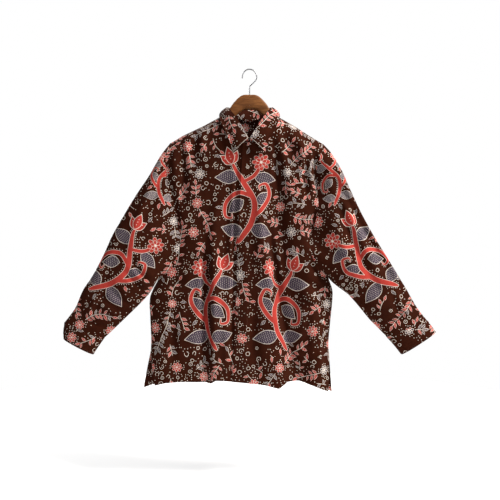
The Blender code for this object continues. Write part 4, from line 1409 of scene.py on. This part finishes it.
def paint_leaf(layout, place, angle, length, width, colour, flip=1.0):
    """A small leaf: light edge, dyed inside, light hatching across it."""
    edge, thick = (LEAF_LINE, HATCH) if colour == "coral" else (1.15 * LEAF_LINE, 1.2 * HATCH)
    layout.paint(put(leaf_points(length, width), place, angle, flip=flip), "cream")
    layout.paint(put(leaf_points(length, width, -edge), place, angle, flip=flip), colour)
    for share in HATCH_SHARES:
        half = 0.40 * width * math.sin(math.pi * share)
        x, y = length * share, LEAF_DROOP * length * share * share
        line = [(x - 0.18 * width, y - half), (x + 0.18 * width, y + half)]
        layout.paint(put(stroke_points(line, (thick, thick)), place, angle, flip=flip), "cream")
    for share in (0.2, 0.55, 0.9):
        layout.take(beside(place, angle, length * share), 0.40 * width)


def leaf_fits(layout, place, angle, length):
    return all(layout.free(beside(place, angle, length * share), room)
               for share, room in ((0.88, 0.0030), (0.52, 0.0022)))


def paint_flower(layout, place, radius, colour, angle):
    """An open flower: two rounds of petals with light edges, and dots about it."""
    edge = LINE * (1.35 if colour == "slate" else 0.75)
    for count, out, long_, wide, turn in PETAL_ROUNDS:
        for k in range(count):
            a = angle + turn + 2.0 * math.pi * k / count
            centre = beside(place, a, radius * out)
            for inset, points, dye in ((0.0, 8, "cream"), (edge, 7, colour)):
                petal = round_points(radius * long_ - inset, radius * wide - inset, points)
                layout.paint(put(petal, centre, a), dye)
    layout.paint(put(round_points(radius * 0.14, radius * 0.14, 7), place, 0.0), "cream")
    layout.take(place, radius)
    halo = radius + HALO
    count = int(2.0 * math.pi * halo / HALO_STEP)
    for k in range(count):
        dot_if_free(layout, beside(place, angle + 2.0 * math.pi * k / count, halo), DOT_ROOM)


def paint_ring(layout, place, radius, dotted):
    """A small ring, wavy and sometimes open at one side, with a dot in some."""
    rng = layout.random
    start = rng.uniform(*ANY_WAY)
    wave = [radius * rng.uniform(*RING_WAVE) for _ in range(RING_POINTS)]
    if rng.random() < RING_OPEN:
        line = [beside(place, start + RING_OPEN_STEP * k, out) for k, out in enumerate(wave)]
        layout.paint(stroke_points(line, [STALK] * RING_POINTS), "cream")
    else:
        step = 2.0 * math.pi / RING_POINTS
        for inset, colour in ((0.0, "cream"), (STALK, "ground")):
            layout.paint([beside(place, start + step * k, out - inset)
                          for k, out in enumerate(wave)], colour)
    if dotted:
        paint_dot(layout, place)
    layout.take(place, radius)


def paint_dot(layout, place, radius=DOT):
    layout.paint(put(round_points(radius, radius, 6, 0.3), place, 0.0), "cream")


def dot_if_free(layout, place, room):
    if layout.free(place, DOT_ROOM):
        paint_dot(layout, place)
        layout.take(place, room)


def paint_vine(layout, place, heading, reach):
    """A stalk that wanders over free ground, with leaves on both its sides."""
    rng = layout.random
    line = [place]
    bend = rng.uniform(-VINE_BEND, VINE_BEND)
    while len(line) * VINE_STEP < reach:
        bend = VINE_KEEP * bend + rng.uniform(-VINE_SWAY, VINE_SWAY)
        heading += bend
        following = beside(line[-1], heading, VINE_STEP)
        if not layout.free(beside(following, heading, VINE_AHEAD), VINE_ROOM):
            break
        line.append(following)
    if len(line) < 4:
        return
    knots = line[::2] + ([] if len(line) % 2 else [line[-1]])
    layout.paint(stroke_points(knots, [STALK] * len(knots)), "cream")
    side = rng.choice((-1.0, 1.0))
    cool = rng.random() < VINE_COOL
    for point in line:
        layout.take(point, STALK_ROOM)
    leaves = []
    for k in range(1, len(line) - 1, LEAF_EVERY):
        along = direction(line[k - 1], line[k + 1])
        for turn in (side, -side) if rng.random() < LEAF_PAIRS else (side,):
            angle = along + turn * rng.uniform(*LEAF_LEAN)
            length = rng.uniform(*LEAF_LENGTH)
            if leaf_fits(layout, line[k], angle, length):
                leaves.append((line[k], angle, length, turn))
        side = -side
    for point, angle, length, turn in leaves:
        slate = (cool and rng.random() < COOL_SLATE) or rng.random() < OTHER_SLATE
        start = beside(point, angle, LEAF_OUT)
        paint_leaf(layout, start, angle, length, length * rng.uniform(*LEAF_SLIM),
                   "slate" if slate else "coral", turn)
    along = direction(line[-2], line[-1])
    if layout.free(beside(line[-1], along, TIP_AHEAD), TIP_ROOM):
        paint_leaf(layout, line[-1], along, *TIP_LEAF, "slate" if cool else "coral")


def paint_plant(layout, place, angle, size, flip):
    """The large plant: a swinging stem with curled shoots, dotted leaves, a bud and a bloom."""
    if flip < 0.0:
        angle += math.pi
    rng = layout.random

    def spots(points, *turned):
        """Points in the plant's own millimetres, on the cut."""
        points = put(points, *turned) if turned else points
        return put([(x * MM, y * MM) for x, y in points], place, angle, size, flip)

    for x, y, turn, length, width in PLANT_LEAVES["rows"]:
        turn = math.radians(turn)
        for grow, colour in ((1.5, "cream"), (0.0, "slate")):
            layout.paint(spots(leaf_points(length, width, grow, 8), (x, y), turn), colour)
        for k in range(1, int(length / LEAF_DOT_ROWS)):
            share = k * LEAF_DOT_ROWS / length
            half = 0.5 * width * math.sin(math.pi * share ** LEAF_PEAK)
            middle = LEAF_DROOP * length * share * share
            for m in range(-4, 5):
                across = m * LEAF_DOT_STEP + (0.5 * LEAF_DOT_STEP if k % 2 else 0.0)
                if abs(across) <= half - LEAF_DOT_IN:
                    spot = spots([(length * share, middle + across)], (x, y), turn)[0]
                    paint_dot(layout, spot, LEAF_DOT)
        for share in (0.15, 0.4, 0.65, 0.9):
            spot = spots([(length * share, 0.1 * length * share * share)], (x, y), turn)[0]
            layout.take(spot, 0.46 * width * MM * size)
    stems = []
    for knots in PLANT_STEMS:
        line = curve_through(knots, 6) * MM
        stems.append((line[:, :2].tolist(), line[:, 2].tolist()))
    for grow, colour in ((1.2 * LINE, "cream"), (0.0, "coral")):
        for run, widths in stems:
            layout.paint(put(stroke_points(run, widths, grow), place, angle, size, flip), colour)
    for run, widths in stems:
        for spot, width in zip(put(run, place, angle, size, flip), widths):
            layout.take(spot, 0.5 * width * size)
    for run, widths in stems:
        for k in range(1, len(run) - 1):
            ahead = direction(run[k - 1], run[k + 1])
            for turn in (-0.5 * math.pi, 0.5 * math.pi):
                spot = beside(run[k], ahead + turn, 0.5 * widths[k] + 0.0046)
                dot_if_free(layout, put([spot], place, angle, size, flip)[0], 0.0016)
    for x, y, turn, length, width in PLANT_PETALS["rows"]:
        turn = math.radians(turn)
        for grow, colour in ((1.6, "cream"), (0.0, "coral")):
            layout.paint(spots(leaf_points(length, width, grow, 6, 0.0), (x, y), turn), colour)
        for share in (0.3, 0.48, 0.66):
            spot = spots([(length * share, 0.0)], (x, y), turn)[0]
            paint_dot(layout, spot)
            layout.take(spot, 0.5 * width * MM * size)
    for x, y, radius in PLANT_BLOOMS:
        paint_flower(layout, spots([(x, y)])[0], radius * MM * size, "coral", angle)
    for x, y, turn in PLANT_FINGERS:
        spot = spots([(x, y)])[0]
        lean = angle + flip * math.radians(turn)
        if layout.free(beside(spot, lean, FINGER_AHEAD), FINGER_ROOM):
            paint_leaf(layout, spot, lean, *FINGER_LEAF, rng.choice(("slate", "coral")))


def near(rng, place, spread):
    return place[0] + rng.gauss(0.0, spread), place[1] + rng.gauss(0.0, spread)


def fill_ground(layout, area, richness):
    """Flowers, vines, rings and dots over the ground that the large plants leave."""
    rng = layout.random
    flowers = []
    for place in layout.tries(area * FLOWER_TRIES):
        if layout.free(place, FLOWER_ROOM) and all(math.dist(place, f) > FLOWER_APART
                                                   for f in flowers):
            paint_flower(layout, place, rng.uniform(*FLOWER_RADIUS),
                         rng.choice(("coral", "coral", "slate")), rng.uniform(*ANY_WAY))
            flowers.append(place)
    for place in layout.tries(area * RING_GROUPS):
        for _ in range(RINGS_TOGETHER):
            spot = near(rng, place, GROUP_SPREAD)
            radius = rng.uniform(*GROUPED_RING)
            if layout.free(spot, radius + GROUPED_GAP):
                paint_ring(layout, spot, radius, rng.random() < RING_DOTTED)
    for place in flowers:
        first = rng.uniform(*ANY_WAY)
        for heading in (first, first + FLOWER_VINES_APART):
            start = beside(place, heading, FLOWER_VINE_OUT)
            paint_vine(layout, start, heading, rng.uniform(*FLOWER_VINE))
    for place in layout.tries(area * VINE_TRIES * richness):
        if layout.free(place, VINE_CLEAR):
            paint_vine(layout, place, rng.uniform(*ANY_WAY), rng.uniform(*VINE_REACH))
    for place in layout.tries(area * RING_TRIES * richness):
        radius = rng.uniform(*LONE_RING)
        if layout.free(place, radius + LONE_GAP):
            paint_ring(layout, place, radius, rng.random() < RING_DOTTED)
    for place in layout.tries(area * DOT_TRIES * richness):
        for _ in range(DOTS_TOGETHER):
            spot = near(rng, place, DOT_SPREAD)
            if layout.free(spot, DOT_APART):
                paint_dot(layout, spot, rng.uniform(*DOT_SIZES) * DOT)
                layout.take(spot, DOT_APART)


def on_cut(points, flat, x, z, side):
    """Where a place seen from the front, or from behind, lies on a cut, and how it is turned."""
    height = points[..., 1] - points[..., 1].mean()
    away = (points[..., 0] - x) ** 2 + (points[..., 2] - z) ** 2
    away = away + 4.0 * np.clip(-side * height, 0.0, None) ** 2 + (side * height < 0) * OTHER_FACE
    i, j = np.unravel_index(np.argmin(away), away.shape)
    i0, i1 = max(0, i - LEAN_ROWS), min(points.shape[0] - 1, i + LEAN_ROWS)
    turned = (direction(flat[i0, j], flat[i1, j])
              - direction(points[i0, j, [0, 2]], points[i1, j, [0, 2]]))
    left = (x - points[i, j, 0], z - points[i, j, 2])
    return put([left], flat[i, j], turned)[0], turned


def print_for(name, flat, loop, points):
    """The whole print of one cut: its large plants where the table has them, then the rest."""
    layout = Layout(loop, PRINT_SEEDS[name])
    for piece, side, x, z, lean, size, flip in PLANTS["rows"]:
        if piece == name:
            place, turned = on_cut(points, flat, x * MM, z * MM, side)
            paint_plant(layout, place, math.radians(lean) + turned, size, float(flip))
    fill_ground(layout, signed_area(loop), RICHNESS.get(name, 1.0))
    if name == "cloth_collar_fall":
        for edge in (flat[:, 0], flat[:, -1]):
            inward = EDGE_LINE_IN * np.sign(loop[:, 0].mean() - edge[:, 0].mean())
            line = [(x + inward, y) for x, y in edge[1:-1:3]]
            layout.paint(stroke_points(line, [LINE] * len(line)), "cream")
    return layout.shapes


# ------------------------------------------------------------------- materials
def new_material(name):
    made = bpy.data.materials.new(name)
    made.use_nodes = True
    tree = made.node_tree
    return made, tree, tree.nodes["Principled BSDF"]


def set_inputs(node, **values):
    """Plain values for a node's inputs, with _ for the blanks in their names."""
    for name, value in values.items():
        node.inputs[name.replace("_", " ")].default_value = value
    return node


def add_node(tree, kind, **values):
    return set_inputs(tree.nodes.new(kind), **values)


def join(tree, *links):
    """Links, each as a node and its output, and a node and its input."""
    for start, out, end, into in links:
        tree.links.new(start.outputs[out], end.inputs[into])


def cloth_material():
    """Printed cotton: the dye a face carries, a little uneven, cracked as wax cracks, and woven."""
    made, tree, shader = new_material("batik cloth look")
    dye = tree.nodes.new("ShaderNodeAttribute")
    dye.attribute_name = "dye"
    cut = tree.nodes.new("ShaderNodeAttribute")
    cut.attribute_name = "cut"
    place = tree.nodes.new("ShaderNodeTexCoord")
    blotch = add_node(tree, "ShaderNodeTexNoise", Scale=26.0, Detail=3.0)
    level = add_node(tree, "ShaderNodeMapRange", From_Min=0.3, From_Max=0.7, To_Min=0.86,
                     To_Max=1.14)
    crack = add_node(tree, "ShaderNodeTexVoronoi", Scale=85.0)
    crack.feature = "DISTANCE_TO_EDGE"
    thin = add_node(tree, "ShaderNodeMapRange", From_Min=0.0, From_Max=0.022, To_Min=0.72,
                    To_Max=1.0)
    both = tree.nodes.new("ShaderNodeMath")
    both.operation = "MULTIPLY"
    mix = tree.nodes.new("ShaderNodeMix")
    mix.data_type = "RGBA"
    mix.blend_type = "MULTIPLY"
    mix.inputs[0].default_value = 1.0
    crossed = tree.nodes.new("ShaderNodeMath")
    crossed.operation = "MAXIMUM"
    for into, way in enumerate("XY"):
        yarn = add_node(tree, "ShaderNodeTexWave", Scale=YARN_SCALE, Distortion=0.6)
        yarn.wave_type = "BANDS"
        yarn.bands_direction = way
        join(tree, (cut, "Vector", yarn, "Vector"), (yarn, "Fac", crossed, into))
    bump = add_node(tree, "ShaderNodeBump", Strength=0.3, Distance=0.00012)
    join(tree, (place, "Object", blotch, "Vector"), (place, "Object", crack, "Vector"),
         (blotch, "Fac", level, "Value"), (crack, "Distance", thin, "Value"),
         (level, "Result", both, 0), (thin, "Result", both, 1), (dye, "Color", mix, 6),
         (both, "Value", mix, 7), (mix, 2, shader, "Base Color"),
         (crossed, "Value", bump, "Height"), (bump, "Normal", shader, "Normal"))
    set_inputs(shader, Roughness=0.90, Specular_IOR_Level=0.03, Sheen_Weight=0.01,
               Sheen_Roughness=0.5)
    return made


def wood_material(name, dark, light):
    """Stained and varnished wood with its grain along the arm."""
    made, tree, shader = new_material(name)
    place = tree.nodes.new("ShaderNodeTexCoord")
    stretch = add_node(tree, "ShaderNodeMapping", Scale=(9.0, 60.0, 60.0))
    grain = add_node(tree, "ShaderNodeTexNoise", Scale=3.0, Detail=6.0, Distortion=0.6)
    ramp = tree.nodes.new("ShaderNodeValToRGB")
    for stop, position, colour in zip(ramp.color_ramp.elements, (0.32, 0.70), (dark, light)):
        stop.position = position
        stop.color = (*colour, 1.0)
    join(tree, (place, "Object", stretch, "Vector"), (stretch, "Vector", grain, "Vector"),
         (grain, "Fac", ramp, "Fac"), (ramp, "Color", shader, "Base Color"))
    set_inputs(shader, Roughness=0.45, Specular_IOR_Level=0.12)
    return made


def plain_material(name, colour, roughness, metallic=0.0):
    made, _, shader = new_material(name)
    set_inputs(shader, Base_Color=(*colour, 1.0), Roughness=roughness, Metallic=metallic)
    return made


CLOTH = cloth_material()
THREAD = plain_material("thread look", (0.105, 0.045, 0.030), 0.75)
# The two arms are one wood in two copies: the wearer's right arm, away from the key light, is a
# little darker as painted shade, and the left arm is the lit copy.
WOOD_PAINTED_SHADE = wood_material("hanger wood painted shade look", (0.086, 0.028, 0.0070), (0.190, 0.070, 0.0190))
WOOD_PAINTED_LIGHT = wood_material("hanger wood painted light look", (0.092, 0.031, 0.0080), (0.200, 0.076, 0.0210))
STEEL = plain_material("hook steel look", (0.30, 0.30, 0.31), 0.34, 1.0)
BUTTON = plain_material("button look", (0.040, 0.020, 0.015), 0.32)
# Near-black: the thread in the button holes, darkened with painted shade of the holes.
HOLE_THREAD_AND_SHADE = plain_material("button thread and painted hole shade look", (0.012, 0.007, 0.006), 0.8)


# --------------------------------------------------------------- cloth pieces
def add_cloth(node, points, start, coarse, away, wall=WALL):
    """Roll a piece out, print it, shape it, hang it from the root body and hide its solid."""
    name = "cloth_" + node
    sparse = points[::coarse[0], ::coarse[1]]
    flat = refine(roll_out(sparse, start(sparse)), coarse)
    loop = outline_of(flat)
    item = make_shell(name, points, flat, loop, print_for(name, flat, loop, points), wall, away)
    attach(item, "root")
    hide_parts(node)
    signed_area(loop)


def facing(points, side):
    return np.broadcast_to(np.array([0.0, float(side), 0.0]), points.shape)


def from_middle(points):
    """Directions out of a tube from the middle of each of its rows."""
    return points - points.mean(axis=1, keepdims=True)


def opened(points):
    """A tube's grid cut at its inner edge: front from there to the outer edge, then the back."""
    last = FRONT_SHARES - 1
    order = list(range(last, -1, -1)) + list(range(points.shape[1] - 1, last, -1)) + [last]
    return points[:, order]


def build_garment():
    front_right = front_points(RIGHT_FRONT, -1, FRONT_COLUMNS)
    front_left = front_points(LEFT_FRONT, 1, FRONT_COLUMNS)
    back = back_points(BACK_COLUMNS)
    add_cloth("front_right", front_right, seen_start, (4, 3), facing(front_right, -1))
    add_cloth("front_left", front_left, seen_start, (4, 3), facing(front_left, -1))
    add_cloth("back", back, seen_start, (4, 4), facing(back, 1))
    for side, table, folds, front, sign in (
            ("right", RIGHT_SLEEVE, RIGHT_SLEEVE_FOLDS, RIGHT_FRONT, -1),
            ("left", LEFT_SLEEVE, LEFT_SLEEVE_FOLDS, LEFT_FRONT, 1)):
        sleeve = opened(sleeve_points(table, folds, front, side, sign))
        add_cloth("sleeve_" + side, sleeve, opened_start, (4, 3), from_middle(sleeve))
    cuffs = {}
    for side, table in (("right", RIGHT_CUFF), ("left", LEFT_CUFF)):
        cuffs[side] = opened(cuff_points(table))
        add_cloth("cuff_" + side, cuffs[side], band_start, (2, 3), from_middle(cuffs[side]))
    stand = stand_points(COLLAR_COLUMNS, STAND_ROWS)
    fall = fall_points(COLLAR_COLUMNS, FALL_ROWS)
    add_cloth("collar_stand", stand, band_start, (2, 4), outward(stand), COLLAR_SHELL)
    add_cloth("collar_fall", fall, band_start, (3, 4), outward(fall), COLLAR_SHELL)
    lines = []
    for grid, side, vents in ((front_right, -1, ("first",)), (front_left, -1, ("last",)),
                              (back, 1, ("first", "last"))):
        lines.append((edge_grid(grid, "hem"), side, HEM_IN))
        for vent in vents:
            run = edge_grid(grid, vent)
            lines.append((run[:, run[0, :, 2] < VENT_TOP], side, EDGE_IN))
    lines.append((edge_grid(front_left, "first"), -1, PLACKET_IN))
    add_stitches("thread_body", [(grid, facing(grid, side), distance, WALL)
                                 for grid, side, distance in lines])
    edges = [edge_grid(fall, edge) for edge in ("hem", "first", "last")]
    add_stitches("thread_collar", [(grid, outward(grid), EDGE_IN, COLLAR_SHELL) for grid in edges])
    for side, cuff in cuffs.items():
        edges = [edge_grid(cuff, edge) for edge in ("top", "hem", "first", "last")]
        add_stitches("thread_cuff_" + side, [(grid, grid - cuff.mean(axis=(0, 1)), EDGE_IN, WALL)
                                             for grid in edges])


def edge_grid(points, edge):
    """A grid turned so that the named edge comes first in it."""
    if edge in ("first", "last"):
        points = points.swapaxes(0, 1)
    return points[::-1] if edge in ("hem", "last") else points


def mesh_object(name, vertices, faces, look):
    mesh = bpy.data.meshes.new(name)
    mesh.from_pydata(vertices, [], faces)
    mesh.update()
    mesh.shade_smooth()
    return add_object(name, mesh, look)


def sharpen(mesh, polygons):
    """Flat faces with a hard edge all round, such as the ends of a rod."""
    keys = {tuple(sorted(key)) for polygon in polygons for key in polygon.edge_keys}
    for edge in mesh.edges:
        if tuple(sorted(edge.vertices)) in keys:
            edge.use_edge_sharp = True
    for polygon in polygons:
        polygon.use_smooth = False


def rod(rings, first=0):
    """Corners and faces of a rod through rings of points, its flat ends last."""
    sides, last = len(rings[0]), len(rings) - 1
    faces = []
    for row in range(last):
        for k in range(sides):
            here, after = first + row * sides + k, first + row * sides + (k + 1) % sides
            faces.append((here, after, after + sides, here + sides))
    faces.append(tuple(reversed(range(first, first + sides))))
    faces.append(tuple(range(first + last * sides, first + (last + 1) * sides)))
    return [tuple(point) for ring in rings for point in ring], faces


def add_rod(name, node, rings, look):
    """A rigid piece that stands for a node, with hard edges round its flat ends."""
    item = mesh_object(name, *rod(rings), look)
    sharpen(item.data, item.data.polygons[-2:])
    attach(item, "root")
    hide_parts(node)


def upright_ring(x, y, z, radius, sides):
    """Points of a ring that faces the back."""
    turns = [2.0 * math.pi * k / sides for k in range(sides)]
    return [(x + radius * math.cos(a), y, z + radius * math.sin(a)) for a in turns]


def build_hanger():
    # The arm away from the key light gets the darker copy of the wood, which is painted shade; the
    # other arm gets the lit copy.
    for side, sign, look in (("right", -1, WOOD_PAINTED_SHADE), ("left", 1, WOOD_PAINTED_LIGHT)):
        add_rod("wood_arm_" + side, "hanger_arm_" + side,
                arm_points(sign).tolist(), look)
    line = np.array(hook_line())
    turns = np.linspace(0.0, 2.0 * math.pi, HOOK_SIDES, endpoint=False)
    rings = [[(x - HOOK_WIRE_RADIUS * math.cos(a) * dz, -HOOK_WIRE_RADIUS * math.sin(a),
               z + HOOK_WIRE_RADIUS * math.cos(a) * dx) for a in turns]
             for (x, z), (dx, dz) in zip(line, unit(np.gradient(line, axis=0)))]
    add_rod("hook_wire", "hanger_hook", rings, STEEL)


def build_buttons():
    for side, table in (("right", RIGHT_CUFF), ("left", LEFT_CUFF)):
        seat = ring_points(table, np.array([CUFF_BUTTON_ROW]), np.array([CUFF_BUTTON_SHARE]), 1)
        x, y, z = (float(value[0]) for value in seat)
        base = y + 0.5 * CLOTH_WALL + BUTTON_CLEARANCE
        add_rod("button_disc_" + side, "button_cuff_" + side,
                [upright_ring(x, base + BUTTON_THICKNESS * up, z, BUTTON_RADIUS * out, BUTTON_TURNS)
                 for out, up in BUTTON_PROFILE], BUTTON)
        # Near-black discs fill the four holes: the thread in them, with the holes' shade painted
        # into their colour.
        vertices, faces = [], []
        top = base + BUTTON_THICKNESS * BUTTON_PROFILE[-1][1]
        for sx, sz in ((-1, -1), (-1, 1), (1, -1), (1, 1)):
            rings = [upright_ring(x + sx * HOLE_OFFSET, level, z + sz * HOLE_OFFSET, HOLE_RADIUS,
                                  HOLE_SIDES) for level in (top - HOLE_SUNK, top + HOLE_PROUD)]
            corners, more = rod(rings, len(vertices))
            vertices += corners
            faces += more
        holes = mesh_object("button_thread_and_shade_" + side, vertices, faces, HOLE_THREAD_AND_SHADE)
        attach(holes, "root")


# ---------------------------------------------------------------------- studio
def add_light(name, place, size, power, colour):
    data = bpy.data.lights.new(name, "AREA")
    data.shape = "SQUARE"
    data.size = size
    data.energy = power
    data.color = colour
    item = bpy.data.objects.new(name, data)
    bpy.context.scene.collection.objects.link(item)
    item.location = place
    aim = Vector(LIGHT_TARGET) - Vector(place)
    item.rotation_euler = aim.to_track_quat("-Z", "Y").to_euler()


def build_studio():
    turns = np.linspace(0.0, 2.0 * math.pi, FLOOR_SIDES, endpoint=False)
    rim = [(FLOOR_REACH * math.cos(a), FLOOR_REACH * math.sin(a), FLOOR_Z) for a in turns]
    floor = mesh_object("floor", rim, [tuple(range(FLOOR_SIDES))],
                        plain_material("floor look", FLOOR_COLOUR, 0.9))
    world = bpy.data.worlds.new("studio")
    bpy.context.scene.world = world
    world.use_nodes = True
    tree = world.node_tree
    sky = set_inputs(tree.nodes["Background"], Color=(*WHITE, 1.0), Strength=SKY_STRENGTH)
    # The camera alone sees the backdrop, which stays white.
    backdrop = add_node(tree, "ShaderNodeBackground", Color=(*WHITE, 1.0), Strength=1.0)
    ray = tree.nodes.new("ShaderNodeLightPath")
    choose = tree.nodes.new("ShaderNodeMixShader")
    join(tree, (ray, "Is Camera Ray", choose, 0), (sky, "Background", choose, 1),
         (backdrop, "Background", choose, 2),
         (choose, "Shader", tree.nodes["World Output"], "Surface"))
    bpy.context.scene.view_settings.view_transform = "Standard"
    for light in LIGHTS:
        add_light(*light)
    data = bpy.data.cameras.new("camera")
    data.lens = CAMERA_LENS
    data.sensor_width = CAMERA_SENSOR
    camera = bpy.data.objects.new("camera", data)
    bpy.context.scene.collection.objects.link(camera)
    camera.location = CAMERA_PLACE
    camera.rotation_euler = (math.radians(90.0), 0.0, 0.0)
    bpy.context.scene.camera = camera


build_garment()
build_hanger()
build_buttons()
build_studio()
